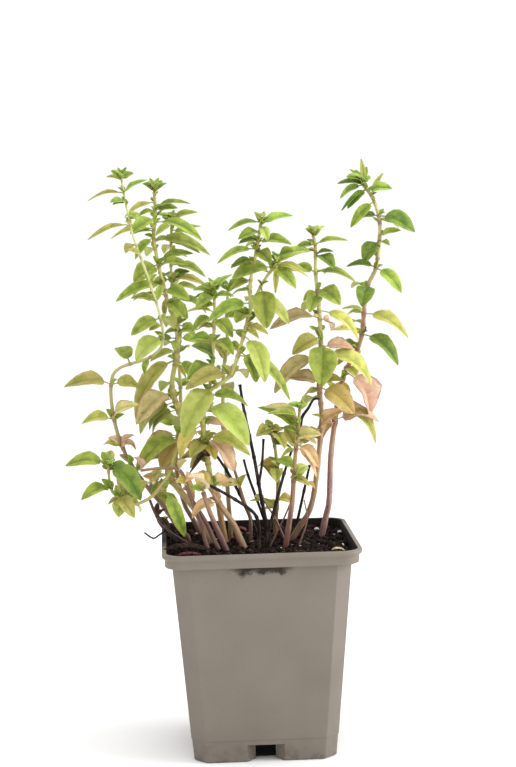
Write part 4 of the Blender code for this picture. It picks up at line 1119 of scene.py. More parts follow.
def finish_piece(bm: bmesh.types.BMesh, name: str, materials: list[bpy.types.Material], slot: str,
                 replaces: str | None = None, sharp: float = 40.0) -> bpy.types.Object:
    """Turn a bmesh into a piece of the part.

    Args:
        bm: the finished mesh, in metres in the part's own frame.
        name: the piece's name.
        materials: its material slots in order.
        slot: the name of the record's material slot, which is only logged.
        replaces: the CAD node that it stands for, if any.
        sharp: edges above this angle in degrees stay sharp.

    Returns:
        The object.
    """
    mesh = new_mesh(bm, name)
    mesh.shade_smooth()
    mesh.set_sharp_from_angle(angle=math.radians(sharp))
    for material in materials:
        mesh.materials.append(material)
    piece = new_object(name, mesh)
    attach(piece, "root")
    if replaces:
        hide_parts(replaces)
    log.info("%s: %d faces, slot %s, stands for %s", name, len(mesh.polygons), slot, replaces)
    return piece


@dataclass(frozen=True)
class BladeGrid:
    """How finely a blade is meshed: steps along it, and places across its upper face."""

    steps: int
    places: tuple[float, ...]

    def stations(self) -> list[float]:
        """Where cross-sections lie: three on the stalk, then closer towards the tip.

        Returns:
            Shares of the way from the stem's axis to the tip.
        """
        blade = [PETIOLE_SHARE + (1 - PETIOLE_SHARE) * (1 - math.cos(math.pi * k / self.steps)) / 2
                 for k in range(1, self.steps + 1)]
        return [0.0, PETIOLE_SHARE * 0.5, PETIOLE_SHARE] + blade


LARGE_BLADE = BladeGrid(8, (-1.0, -0.6, -0.2, 0.0, 0.2, 0.6, 1.0))
SMALL_BLADE = BladeGrid(4, (-1.0, -0.45, 0.0, 0.45, 1.0))


@dataclass
class BladeMaker:
    """Makes leaf blades as thin closed shells in one mesh. Sizes in millimetres."""

    bm: bmesh.types.BMesh
    draw: random.Random
    materials: list[Age] = field(default_factory=list)
    half_thickness: float = 0.16
    stalk_half_thickness: float = 0.32
    fullness: float = 1.08
    tip_half: float = 0.12
    stalk_share: float = 0.8
    margin_thinning: float = 0.75
    unevenness: float = 0.04
    notches: float = 17

    def __post_init__(self) -> None:
        """Open the layers that the leaf materials read."""
        self.uv = self.bm.loops.layers.uv.new(LEAF_UV)
        self.shade = self.bm.verts.layers.float.new(SHADE)

    def add(self, leaf: Leaf, grid: BladeGrid) -> None:
        """Add one leaf with its age's habit and material.

        Args:
            leaf: the leaf.
            grid: how finely it is meshed.
        """
        habit = LEAF_HABITS[leaf.age]
        _, across, up = leaf.axes()
        along = leaf.reach.normalized()
        phase = self.draw.uniform(0, 2 * math.pi)
        lean = self.draw.uniform(-1, 1) * math.radians(habit.twist)
        rings = []
        places = grid.stations()
        for t in places:
            u = max(0.0, (t - PETIOLE_SHARE) / (1 - PETIOLE_SHARE))
            half = self.half_width(leaf, t, u, phase)
            turn = Matrix.Rotation(lean * u * 2, 3, along)
            side, rise = turn @ across, turn @ up
            thick = between(self.stalk_half_thickness, self.half_thickness, min(1.0, u * 6))
            centre = leaf.middle(t)
            fold = math.radians(between(0.0, habit.fold, min(1.0, u * 4)))
            top, low = [], []
            for place in grid.places:
                flat = place * half * math.cos(fold)
                lift = abs(place) * half * math.sin(fold)
                lift += habit.pillow * half * math.sin(math.pi * min(1.0, abs(place))) * min(1.0, u * 5)
                lift += habit.wave * half * abs(place) * math.sin(phase + 9.0 * t + 2.0 * place)
                point = centre + side * flat + rise * lift
                shell = thick * (1 - self.margin_thinning * abs(place) ** 2)
                top.append((point + rise * shell) * MM)
                low.append((point - rise * shell) * MM)
            rings.append(top + list(reversed(low[1:-1])))
        verts = tube_from_rings(self.bm, rings, (self.uv, places))
        self.paint(verts, leaf.age)

    def half_width(self, leaf: Leaf, t: float, u: float, phase: float) -> float:
        """Half the breadth at t, with a slightly uneven outline and a fine tip.

        Args:
            leaf: the leaf.
            t: the share of the way from the stem's axis to the tip.
            u: the share of the way along the blade without its stalk.
            phase: where the unevenness of its outline starts.

        Returns:
            The half breadth.
        """
        if t >= 1.0:
            return self.tip_half
        if u <= 0:
            return PETIOLE_HALF * self.stalk_share
        return leaf.half_breadth(t) * (self.fullness + self.unevenness * math.sin(phase + self.notches * t))

    def paint(self, verts: list[bmesh.types.BMVert], age: Age) -> None:
        """Give a new blade its shade and its material.

        Args:
            verts: the blade's vertices.
            age: the leaf's age.
        """
        set_layer(verts, self.shade, self.draw.uniform(-1, 1))
        if age not in self.materials:
            self.materials.append(age)
        index = self.materials.index(age)
        for face in {face for vert in verts for face in vert.link_faces}:
            face.material_index = index


@dataclass
class StemMaker:
    """Makes stems with joints, ridges and hairs in one mesh. Sizes in millimetres."""

    bm: bmesh.types.BMesh
    draw: random.Random
    sides: int = 12
    step: float = 1.2
    squareness: float = 0.06
    joint_swell: float = 0.28
    joint_length: float = 0.9
    joint_stain: float = 0.9
    hair_length: tuple[float, float] = (0.5, 1.2)
    hair_radius: float = 0.055
    hair_bend: tuple[float, float] = (-0.4, 0.6)
    hair_spacing: float = 0.7

    def __post_init__(self) -> None:
        """Open the layers that the stem materials read."""
        self.joint = self.bm.verts.layers.float.new(JOINT)
        self.shade = self.bm.verts.layers.float.new(SHADE)
        self.grain = self.bm.verts.layers.float_vector.new(GRAIN)

    def add(self, shoot: Shoot, joints: list[Vector]) -> None:
        """Add one shoot.

        Args:
            shoot: its route and radii.
            joints: the points on it where leaves grow.
        """
        curve, shares = stem_curve(shoot.leaning(), self.step)
        side = Vector((1.0, 0.0, 0.0))
        rings, near = [], []
        for index, (point, share) in enumerate(zip(curve, shares)):
            ahead = curve[min(index + 1, len(curve) - 1)] - curve[max(index - 1, 0)]
            ahead.normalize()
            side = (side - ahead * side.dot(ahead)).normalized()
            other = ahead.cross(side)
            gap = min([(point - joint).length for joint in joints], default=99.0)
            swell = 1 + self.joint_swell * math.exp(-(gap / self.joint_length) ** 2)
            radius = shoot.radius(share) * swell
            radius *= 1 + 0.10 * noise.noise(point * 0.35)
            ring = []
            for k in range(self.sides):
                angle = 2 * math.pi * k / self.sides
                reach = radius * (1 + self.squareness * math.cos(4 * angle))
                ring.append((point + (side * math.cos(angle) + other * math.sin(angle)) * reach) * MM)
            rings.append(ring)
            near.append(math.exp(-(gap / self.joint_stain) ** 2))
        verts = tube_from_rings(self.bm, rings)
        for number, vert in enumerate(verts):
            row, column = divmod(number, self.sides)
            angle = 2 * math.pi * column / self.sides
            vert[self.joint] = near[min(row, len(near) - 1)]
            vert[self.grain] = (math.cos(angle), math.sin(angle), row * self.step)
        set_layer(verts, self.shade, self.draw.uniform(-0.5, 0.5))

    def add_hairs(self, shoot: Shoot, count: int) -> None:
        """Add short stiff hairs that stand off a shoot.

        Args:
            shoot: the shoot.
            count: how many hairs it gets.
        """
        curve, shares = stem_curve(shoot.leaning(), self.hair_spacing)
        for _ in range(count):
            index = self.draw.randrange(len(curve) - 1)
            point, share = curve[index], shares[index]
            ahead = (curve[index + 1] - point).normalized()
            out = Vector([self.draw.gauss(0, 1) for _ in range(3)])
            out = (out - ahead * out.dot(ahead)).normalized()
            radius = shoot.radius(share)
            root = point + out * radius * 0.9
            length = self.draw.uniform(*self.hair_length)
            bend = out + ahead * self.draw.uniform(*self.hair_bend)
            made = bmesh.ops.create_cone(self.bm, cap_ends=True, segments=3, radius1=self.hair_radius * MM,
                                         radius2=self.hair_radius * 0.25 * MM, depth=length * MM)["verts"]
            turn = bend.to_track_quat("Z", "Y").to_matrix().to_4x4()
            place = Matrix.Translation((root + bend.normalized() * length / 2) * MM) @ turn
            bmesh.ops.transform(self.bm, matrix=place, verts=made)


@dataclass
class LeafyStem:
    """One living stem with its side shoots, leaves and small leaf buds. Sizes in millimetres."""

    name: str
    shoots: list[Shoot]
    leaves: list[Leaf]
    leaf_materials: dict[Age, bpy.types.Material]
    bud_share: float = 0.7
    old_bud: tuple[float, float] = (4.5, 8.0)
    young_bud: tuple[float, float] = (2.6, 4.6)
    bud_swings: tuple[float, float] = (-0.7, 0.6)
    bud_rise: tuple[float, float] = (20, 65)
    crown_leaves: int = 2
    crown_rise: tuple[float, float] = (58, 76)
    stray: tuple[float, float] = (-0.3, 0.3)
    hairs_per_cm: float = 12.0

    def build(self) -> None:
        """Make the stem's piece and its leaves' piece, both in place of the CAD node."""
        draw = random.Random(self.name)
        self.build_axis(draw)
        self.build_blades(draw)

    def build_axis(self, draw: random.Random) -> None:
        """The stem and its side shoots, swollen and dark where leaves grow.

        Args:
            draw: the seeded random draw.
        """
        maker = StemMaker(bmesh.new(), draw)
        joints = [leaf.root for leaf in self.leaves if leaf.reach.length > JOINT_LEAF]
        for shoot in self.shoots:
            maker.add(shoot, joints)
        for shoot in self.shoots:
            length = sum((Vector(b) - Vector(a)).length for a, b in zip(shoot.route, shoot.route[1:]))
            maker.add_hairs(shoot, round(length / 10 * self.hairs_per_cm))
        material = living_stem_material(self.name, STEM_TONES[self.name])
        finish_piece(maker.bm, f"{self.name}_axis", [material], "young_stem", self.name, sharp=60.0)

    def build_blades(self, draw: random.Random) -> None:
        """The leaves, the buds in their axils and the smallest leaves at the tips.

        Args:
            draw: the seeded random draw.
        """
        maker = BladeMaker(bmesh.new(), draw)
        for leaf in self.leaves:
            maker.add(leaf, LARGE_BLADE)
        for leaf in self.buds(draw) + self.crowns(draw):
            maker.add(leaf, SMALL_BLADE)
        materials = [self.leaf_materials[age] for age in maker.materials]
        finish_piece(maker.bm, f"{self.name}_leaves", materials, "foliage", self.name)

    def buds(self, draw: random.Random) -> list[Leaf]:
        """Pairs of tiny leaves in the axils of the larger ones.

        Args:
            draw: the seeded random draw.

        Returns:
            The leaves.
        """
        made = []
        for leaf in self.leaves:
            if leaf.reach.length < JOINT_LEAF or draw.random() > self.bud_share:
                continue
            heading = math.atan2(leaf.reach.y, leaf.reach.x)
            share = youth(leaf.root.z)
            for swing in self.bud_swings:
                length = between(draw.uniform(*self.old_bud), draw.uniform(*self.young_bud), share)
                reach = outward_reach(heading + swing + draw.uniform(*self.stray),
                                      math.radians(draw.uniform(*self.bud_rise)), length)
                age = leaf.age if draw.random() < 0.5 else Age.YOUNG
                made.append(Leaf(leaf.root, reach, length * 0.6, LEAF_FACING, YOUNG_ARCH, age))
        return made

    def crowns(self, draw: random.Random) -> list[Leaf]:
        """The innermost leaves of each rosette, steeper and smaller than the rest.

        Args:
            draw: the seeded random draw.

        Returns:
            The leaves.
        """
        made = []
        for shoot in self.shoots:
            if not shoot.rosette:
                continue
            top = Vector(shoot.route[-1])
            for k in range(self.crown_leaves):
                length = shoot.rosette * draw.uniform(*ROSETTE_LENGTHS)
                reach = outward_reach(k * math.pi + draw.uniform(*self.stray),
                                      math.radians(draw.uniform(*self.crown_rise)), length)
                made.append(Leaf(top, reach, length * 0.5, LEAF_FACING, YOUNG_ARCH, Age.YOUNG))
        return made


@dataclass
class DeadStem:
    """One dry brown stem left from an earlier season. Sizes in millimetres."""

    name: str
    shoots: list[Shoot]
    material: bpy.types.Material
    joint_gap: float = 11.0
    shrunk: float = 0.82

    def build(self) -> None:
        """Make the stalk with its old joints and a broken tip."""
        draw = random.Random(self.name)
        maker = StemMaker(bmesh.new(), draw, sides=9, joint_swell=0.30, joint_length=0.7)
        for shoot in self.shoots:
            thin = replace(shoot, foot_radius=shoot.foot_radius * self.shrunk,
                           tip_radius=shoot.tip_radius * self.shrunk)
            curve, _ = stem_curve(thin, self.joint_gap)
            maker.add(thin, curve[1:])
        finish_piece(maker.bm, f"{self.name}_stalk", [self.material], "dead_stem", self.name, sharp=60.0)


@dataclass
class Undergrowth:
    """The thin stems and dry twigs that fill the plant's foot. They stand for no CAD node."""

    leaf_materials: dict[Age, bpy.types.Material]
    dry: bpy.types.Material
    tone: StemTone = StemTone("7d5a50", "8a6454", "9b7a5c", "5f4038", 104, 122)

    def build(self) -> None:
        """Make one piece of stems, one of their leaves and one of twigs."""
        draw = random.Random("undergrowth")
        stems, twigs = StemMaker(bmesh.new(), draw), StemMaker(bmesh.new(), draw, sides=8)
        blades = BladeMaker(bmesh.new(), draw)
        for shoot in UNDERGROWTH.values():
            stems.add(shoot, [])
            stems.add_hairs(shoot, 24)
            for (height, x, y, z, breadth), letter in zip(shoot.leaves, shoot.ages):
                leaf = Leaf(node_on_stem(shoot, height), Vector((x, y, z)), breadth, LEAF_FACING,
                            OLD_ARCH, Age(letter))
                blades.add(leaf, SMALL_BLADE)
        for shoot in DRY_TWIGS:
            twigs.add(shoot, [])
        finish_piece(stems.bm, "undergrowth_stems", [living_stem_material("undergrowth", self.tone)],
                     "young_stem", sharp=60.0)
        finish_piece(blades.bm, "undergrowth_leaves",
                     [self.leaf_materials[age] for age in blades.materials], "foliage")
        finish_piece(twigs.bm, "dry_twigs", [self.dry], "dead_stem", sharp=60.0)


def pot_material() -> bpy.types.Material:
    """Recycled polypropylene, injection moulded with a fine spark texture.

    It gives a warm grey-brown satin with a soft highlight, slightly cloudy from the recycled
    pigment, with painted shade that darkens it towards its foot. Earth and painted shade darken the
    inner wall, the left and back of the lip and the floor seen through the drains, and earth is
    smeared below the band and round the feet.

    Returns:
        The material.
    """
    material, node, shader = new_material("moulded_recycled_polypropylene")
    place = node("TexCoord", {}).outputs["Object"]
    spot = node("SeparateXYZ", {0: place})
    x, y, z = (spot.outputs[axis] for axis in "XYZ")
    cloud = node("TexNoise", {"Vector": place, "Scale": per_mm(24.0), "Detail": 2.0})
    # Painted shade: the plastic is painted darker towards the foot, added to the pigment's random cloud
    painted_height_shade = node("MapRange", {"Value": z, "From Min": 0.0, "From Max": 90 * MM, "To Min": -0.25,
                              "To Max": 0.30})
    cloud_and_shade = node("Math", {0: cloud, 1: painted_height_shade}, operation="ADD")
    fleck = node("TexNoise", {"Vector": place, "Scale": per_mm(0.9), "Detail": 2.0})
    flecked = node("MapRange", {"Value": fleck, "From Min": 0.68, "From Max": 0.72, "To Max": 0.3})

    smear = node("TexNoise", {"Vector": place, "Scale": per_mm(6.0), "Detail": 6.0, "Roughness": 0.7})
    # Earth and painted shade: the inner wall above the soil is painted nearly black
    folded = node("VectorMath", {0: place}, operation="ABSOLUTE")
    corner = node("VectorMath", {0: folded, 1: (INNER_CENTRE, INNER_CENTRE, 1.0)}, operation="SUBTRACT")
    outward = node("VectorMath", {0: corner, 1: (0.0, 0.0, 0.0)}, operation="MAXIMUM")
    reach = node("VectorMath", {0: outward}, operation="LENGTH").outputs["Value"]
    inside = node("Math", {0: reach, 1: INNER_REACH}, operation="LESS_THAN")
    above = node("MapRange", {"Value": z, "From Min": 93.5 * MM, "From Max": 94 * MM})
    by_soil = node("Math", {0: inside, 1: above}, operation="MULTIPLY")
    # Earth and painted shade: the top of the lip is painted dark towards its left and back
    slant = node("Math", {0: x, 1: -0.6, 2: y}, operation="MULTIPLY_ADD")
    smeared_slant = node("Math", {0: smear, 1: 30 * MM, 2: slant}, operation="MULTIPLY_ADD")
    back_lip = node("MapRange", {"Value": smeared_slant, "From Min": 14 * MM, "From Max": 36 * MM})
    on_top = node("MapRange", {"Value": z, "From Min": 98.9 * MM, "From Max": 99.6 * MM, "To Max": 0.9})
    lip_earth_and_shade = node("Math", {0: back_lip, 1: on_top}, operation="MULTIPLY")
    # Painted shade with some earth: the floor and drain edges seen through the drain holes are painted dark
    sides = node("SeparateXYZ", {0: folded})
    widest = node("Math", {0: sides.outputs["X"], 1: sides.outputs["Y"]}, operation="MAXIMUM")
    cavity = node("Math", {0: widest, 1: CAVITY_HALF}, operation="LESS_THAN")
    inner_earth_and_shade = node("Math", {0: by_soil, 1: cavity}, operation="MAXIMUM")
    deep = node("Math", {0: inner_earth_and_shade, 1: lip_earth_and_shade}, operation="MAXIMUM")

    across = node("Math", {0: x, 1: -SMUDGE_MIDDLE}, operation="ADD")
    off = node("Math", {0: across}, operation="ABSOLUTE")
    along = node("MapRange", {"Value": off, "From Min": 16 * MM, "From Max": 9 * MM})
    hung = node("Math", {0: smear, 1: -16 * MM, 2: z}, operation="MULTIPLY_ADD")
    under_band = node("MapRange", {"Value": hung, "From Min": 81.6 * MM, "From Max": 83.8 * MM})
    in_front = node("Math", {0: y, 1: -38 * MM}, operation="LESS_THAN")
    smudge = node("Math", {0: along, 1: under_band}, operation="MULTIPLY")
    below = node("Math", {0: z, 1: 93.4 * MM}, operation="LESS_THAN")
    smudged = node("Math", {0: smudge, 1: below}, operation="MULTIPLY")
    shown = node("Math", {0: smudged, 1: in_front}, operation="MULTIPLY")
    foot = node("MapRange", {"Value": z, "From Min": 0.0, "From Max": 12 * MM, "To Min": 0.4,
                             "To Max": 0.0})
    blot = node("MapRange", {"Value": smear, "From Min": 0.48, "From Max": 0.62})
    splashed = node("Math", {0: foot, 1: blot}, operation="MULTIPLY")
    soil = node("Math", {0: shown, 1: splashed}, operation="MAXIMUM")
    colour = linear(POT_DARK)
    for mask, code in ((cloud_and_shade, POT_LIGHT), (flecked, POT_FLECK), (deep, POT_EARTH_AND_SHADE), (soil, POT_SMUDGE)):
        colour = node("Mix", {FACTOR: mask, COLOUR_A: colour, COLOUR_B: linear(code)}, data_type="RGBA")

    gloss = node("MapRange", {"Value": smear, "From Min": 0.3, "From Max": 0.7, "To Min": 0.46,
                              "To Max": 0.56})
    dulled = node("Math", {0: deep, 1: 0.45, 2: gloss}, operation="MULTIPLY_ADD")
    grain = node("TexNoise", {"Vector": place, "Scale": per_mm(0.35), "Detail": 2.0})
    bump = node("Bump", {"Strength": 0.12, "Distance": 0.08 * MM, "Height": grain})
    set_inputs(shader, {"Base Color": colour, "Roughness": dulled, "Normal": bump, "IOR": 1.49,
                        "Specular IOR Level": 0.3})
    return material


@dataclass
class NurseryPot:
    """The square moulded pot. Sizes in metres, as in the CAD."""

    height: float = 0.100
    rim_half: float = 0.0460
    rim_corner: float = 0.009
    lip_height: float = 0.0017
    lip_proud: float = 0.0013
    band_height: float = 0.0065
    body_top_half: float = 0.0414
    body_foot_half: float = 0.0337
    chamfer_top: float = 0.0072
    chamfer_foot: float = 0.0062
    wall: float = 0.0012
    floor: float = 0.0015
    foot_step_height: float = 0.0105
    foot_step: float = 0.0003
    notch_mouth: float = 0.0175
    notch_back: float = 0.0102
    notch_depth: float = 0.0050
    notch_height: float = 0.0080
    drain_width: float = 0.0096
    drain_height: float = 0.0072
    edge_radius: float = 0.0011
    corner_steps: int = 7

    @property
    def shoulder(self) -> float:
        """Height of the band's underside."""
        return self.height - self.band_height

    def body_half(self, z: float) -> float:
        """Half the body's outer width at height z."""
        return self.body_foot_half + (self.body_top_half - self.body_foot_half) * z / self.shoulder

    def chamfer(self, z: float) -> float:
        """Corner cut of the body at height z."""
        return self.chamfer_foot + (self.chamfer_top - self.chamfer_foot) * z / self.shoulder

    def octagon(self, z: float, inset: float = 0.0, lift: float = 0.0) -> list[Vector]:
        """Ring of the body's outline at height z, its corners rounded by edge_radius.

        Args:
            z: the height whose outline is used.
            inset: how far inside the outer face the ring lies.
            lift: how far above z the ring is placed.

        Returns:
            Points, anticlockwise from the front right.
        """
        half = self.body_half(z) - inset
        flat = half - (self.chamfer(z) - inset * (2 - math.sqrt(2)))
        radius = self.edge_radius
        run = radius * math.tan(math.pi / 8)
        steps = (self.corner_steps - 1) // 2
        ring = []
        for quarter in range(4):
            turn = Matrix.Rotation(quarter * math.pi / 2, 3, "Z")
            for corner, start in (((flat, -half), -math.pi / 2), ((half, -flat), -math.pi / 4)):
                inward = Vector((math.cos(start + math.pi / 8 + math.pi),
                                 math.sin(start + math.pi / 8 + math.pi)))
                centre = Vector(corner) + inward * (radius / math.cos(math.pi / 8))
                for step in range(steps + 1):
                    angle = start + step * math.pi / 4 / steps
                    point = centre + Vector((math.cos(angle), math.sin(angle))) * radius
                    ring.append(turn @ Vector((point.x, point.y, z + lift)))
        return ring

    def rounded_square(self, half: float, z: float, radius: float | None = None) -> list[Vector]:
        """Ring of a square with round corners, with as many points as octagon gives.

        Args:
            half: half its side.
            z: its height.
            radius: its corners' radius; the rim's if none is given.

        Returns:
            The ring's points.
        """
        radius = self.rim_corner if radius is None else radius
        ring = []
        for quarter in range(4):
            turn = Matrix.Rotation(quarter * math.pi / 2, 3, "Z")
            for step in range(self.corner_steps + 1):
                angle = -math.pi / 2 + step * math.pi / 2 / self.corner_steps
                ring.append(turn @ Vector((half - radius + radius * math.cos(angle),
                                           -half + radius + radius * math.sin(angle), z)))
        return ring

    def outside(self) -> list[list[Vector]]:
        """Rings of the outer skin, from the underside up over the band to the lip.

        Returns:
            The rings, from the lowest up.
        """
        step = self.foot_step
        band = self.rim_half - self.lip_proud
        lip = self.height - self.lip_height
        return [self.octagon(0.0, step + EDGE_SOFT),
                self.octagon(0.0, step, EDGE_SOFT),
                self.octagon(self.foot_step_height, step, -step),
                self.octagon(self.foot_step_height),
                self.octagon(self.shoulder),
                self.rounded_square(band - EDGE_SOFT, self.shoulder),
                self.rounded_square(band, self.shoulder + EDGE_SOFT),
                self.rounded_square(band, lip - self.lip_proud),
                self.rounded_square(self.rim_half - 0.0001, lip),
                self.rounded_square(self.rim_half, lip + 0.0002),
                self.rounded_square(self.rim_half, self.height - EDGE_SOFT),
                self.rounded_square(self.rim_half - EDGE_SOFT * 0.3, self.height - EDGE_SOFT * 0.3),
                self.rounded_square(self.rim_half - EDGE_SOFT, self.height)]

    def inside(self) -> list[list[Vector]]:
        """Rings of the cavity, from the floor up past the lip.

        Returns:
            The rings, from the lowest up.
        """
        inner = self.rim_half - self.lip_proud - self.wall
        corner = self.rim_corner - self.wall
        return [self.octagon(self.floor, self.wall),
                self.octagon(self.shoulder, self.wall, self.wall),
                self.rounded_square(inner, self.shoulder + self.wall, corner),
                self.rounded_square(inner, self.height - EDGE_SOFT, corner),
                self.rounded_square(inner + EDGE_SOFT * 0.3, self.height - EDGE_SOFT * 0.3, corner),
                self.rounded_square(inner + EDGE_SOFT, self.height, corner + EDGE_SOFT),
                self.rounded_square(inner + EDGE_SOFT, self.height + 0.002, corner + EDGE_SOFT)]

    def wedge(self, extra: float) -> list[list[Vector]]:
        """Rings of the front notch's space, grown by extra to give its walls.

        Args:
            extra: by how much it is grown.

        Returns:
            Two rings, the lower one first.
        """
        face = -self.body_foot_half
        out = 0.004
        mouth, back = self.notch_mouth / 2 + extra, self.notch_back / 2 + extra
        depth = self.notch_depth + extra
        outline = [(-mouth, face - out), (mouth, face - out), (mouth, face),
                   (back, face + depth), (-back, face + depth), (-mouth, face)]
        return [[Vector((x, y, z)) for x, y in outline] for z in (-out, self.notch_height + extra)]

    def solid(self, rings: list[list[Vector]], turns: int = 1) -> bpy.types.Object:
        """A helper object through rings, repeated round the pot; it is removed after its cut.

        Args:
            rings: the rings that it goes through.
            turns: at how many quarters of the pot it stands.

        Returns:
            The object.
        """
        bm = bmesh.new()
        for quarter in range(turns):
            turn = Matrix.Rotation(quarter * math.pi / 2, 3, "Z")
            tube_from_rings(bm, [[turn @ point for point in ring] for ring in rings])
        return new_object("helper", new_mesh(bm, "helper"))

    def drain(self) -> list[list[Vector]]:
        """Rings of the front drain hole, through the notch's back wall and open underneath.

        Returns:
            Two rings, the inner one first.
        """
        low, high = -0.004, self.drain_height
        y = -self.body_foot_half + self.notch_depth + self.wall / 2
        half, reach, corner = self.drain_width / 2, 0.003, 0.0006
        outline = []
        for cx, cz, start in ((half, high, 0), (-half, high, 1), (-half, low, 2), (half, low, 3)):
            inward = Vector((-math.copysign(corner, cx), 0, -corner if cz == high else corner))
            for step in range(4):
                angle = start * math.pi / 2 + step * math.pi / 6
                outline.append(Vector((cx, 0, cz)) + inward
                               + Vector((math.cos(angle), 0, math.sin(angle))) * corner)
        return [[point + Vector((0, y + depth, 0)) for point in outline] for depth in (reach, -reach)]

    def cut(self, made: bpy.types.Object, helper: bpy.types.Object) -> None:
        """Take a helper's space out of a solid and remove the helper.

        Args:
            made: the object that is cut.
            helper: the object whose space goes.
        """
        modifier = made.modifiers.new("cut", "BOOLEAN")
        modifier.operation = "DIFFERENCE"
        modifier.solver = "EXACT"
        modifier.object = helper
        graph = bpy.context.evaluated_depsgraph_get()
        mesh = bpy.data.meshes.new_from_object(made.evaluated_get(graph))
        made.modifiers.clear()
        made.data = mesh
        bpy.data.objects.remove(helper, do_unlink=True)

    def build(self) -> None:
        """Make the pot in place of its CAD node."""
        pot = self.solid(self.outside())
        cavity = self.solid(self.inside())
        self.cut(cavity, self.solid(self.wedge(self.wall), turns=4))
        self.cut(pot, self.solid(self.wedge(0.0), turns=4))
        self.cut(pot, cavity)
        self.cut(pot, self.solid(self.drain(), turns=4))
        bm = bmesh.new()
        bm.from_mesh(pot.data)
        bpy.data.objects.remove(pot, do_unlink=True)
        bmesh.ops.remove_doubles(bm, verts=bm.verts, dist=1e-7)
        finish_piece(bm, "nursery_pot", [pot_material()], "pot", "pot", sharp=32.0)


@dataclass(frozen=True)
class Scrap:
    """One larger scrap on the soil: its middle, size, turn and tilt, in millimetres and degrees."""

    middle: tuple[float, float, float]
    size: tuple[float, float, float]
    turn: float
    tilt: float
    bend: float
    finish: GrainFinish


SCRAP_STEPS = 7
SCRAP_SIDES = 8

SCRAPS = (
    Scrap((-34.5, -24.5, 99.0), (23.0, 6.0, 1.8), 10.0, 4.0, 2.6, BARK),
    Scrap((-33.0, -29.0, 97.6), (12.0, 3.0, 1.2), 16.0, 6.0, 0.9, RED_BARK),
    Scrap((-28.5, 26.0, 97.0), (3.2, 2.2, 1.2), 30.0, 15.0, 0.2, PALE_WOOD),
    Scrap((-20.5, 11.0, 97.0), (3.4, 2.0, 1.2), -20.0, 10.0, 0.2, PALE_WOOD),
    Scrap((-8.0, 20.0, 98.0), (4.4, 3.2, 1.6), 5.0, 24.0, 0.4, RED_BARK),
    Scrap((-6.0, 33.0, 97.6), (4.6, 3.0, 1.6), 5.0, 20.0, 0.4, RED_BARK),
    Scrap((30.0, 20.0, 98.6), (8.0, 1.1, 1.0), 66.0, 12.0, 0.6, PERLITE),
    Scrap((25.8, 18.5, 97.8), (9.0, 1.0, 0.9), -62.0, -6.0, 0.5, RED_BARK),
    Scrap((41.0, 19.5, 97.2), (2.8, 2.4, 1.6), 0.0, 0.0, 0.1, PERLITE),
    Scrap((35.5, -30.0, 98.0), (6.4, 1.0, 1.0), 14.0, 8.0, 0.8, PALE_WOOD),
    Scrap((18.0, -31.0, 97.2), (7.0, 3.6, 1.4), -24.0, 6.0, 0.7, BARK),
    Scrap((-40.0, 4.0, 98.0), (11.0, 4.0, 1.6), 80.0, -10.0, 1.2, BARK),
    Scrap((12.0, 30.0, 97.2), (8.0, 4.0, 1.6), 40.0, -8.0, 0.9, BARK),
    Scrap((-4.0, -24.0, 97.0), (6.0, 3.2, 1.3), 74.0, 5.0, 0.5, BARK),
)


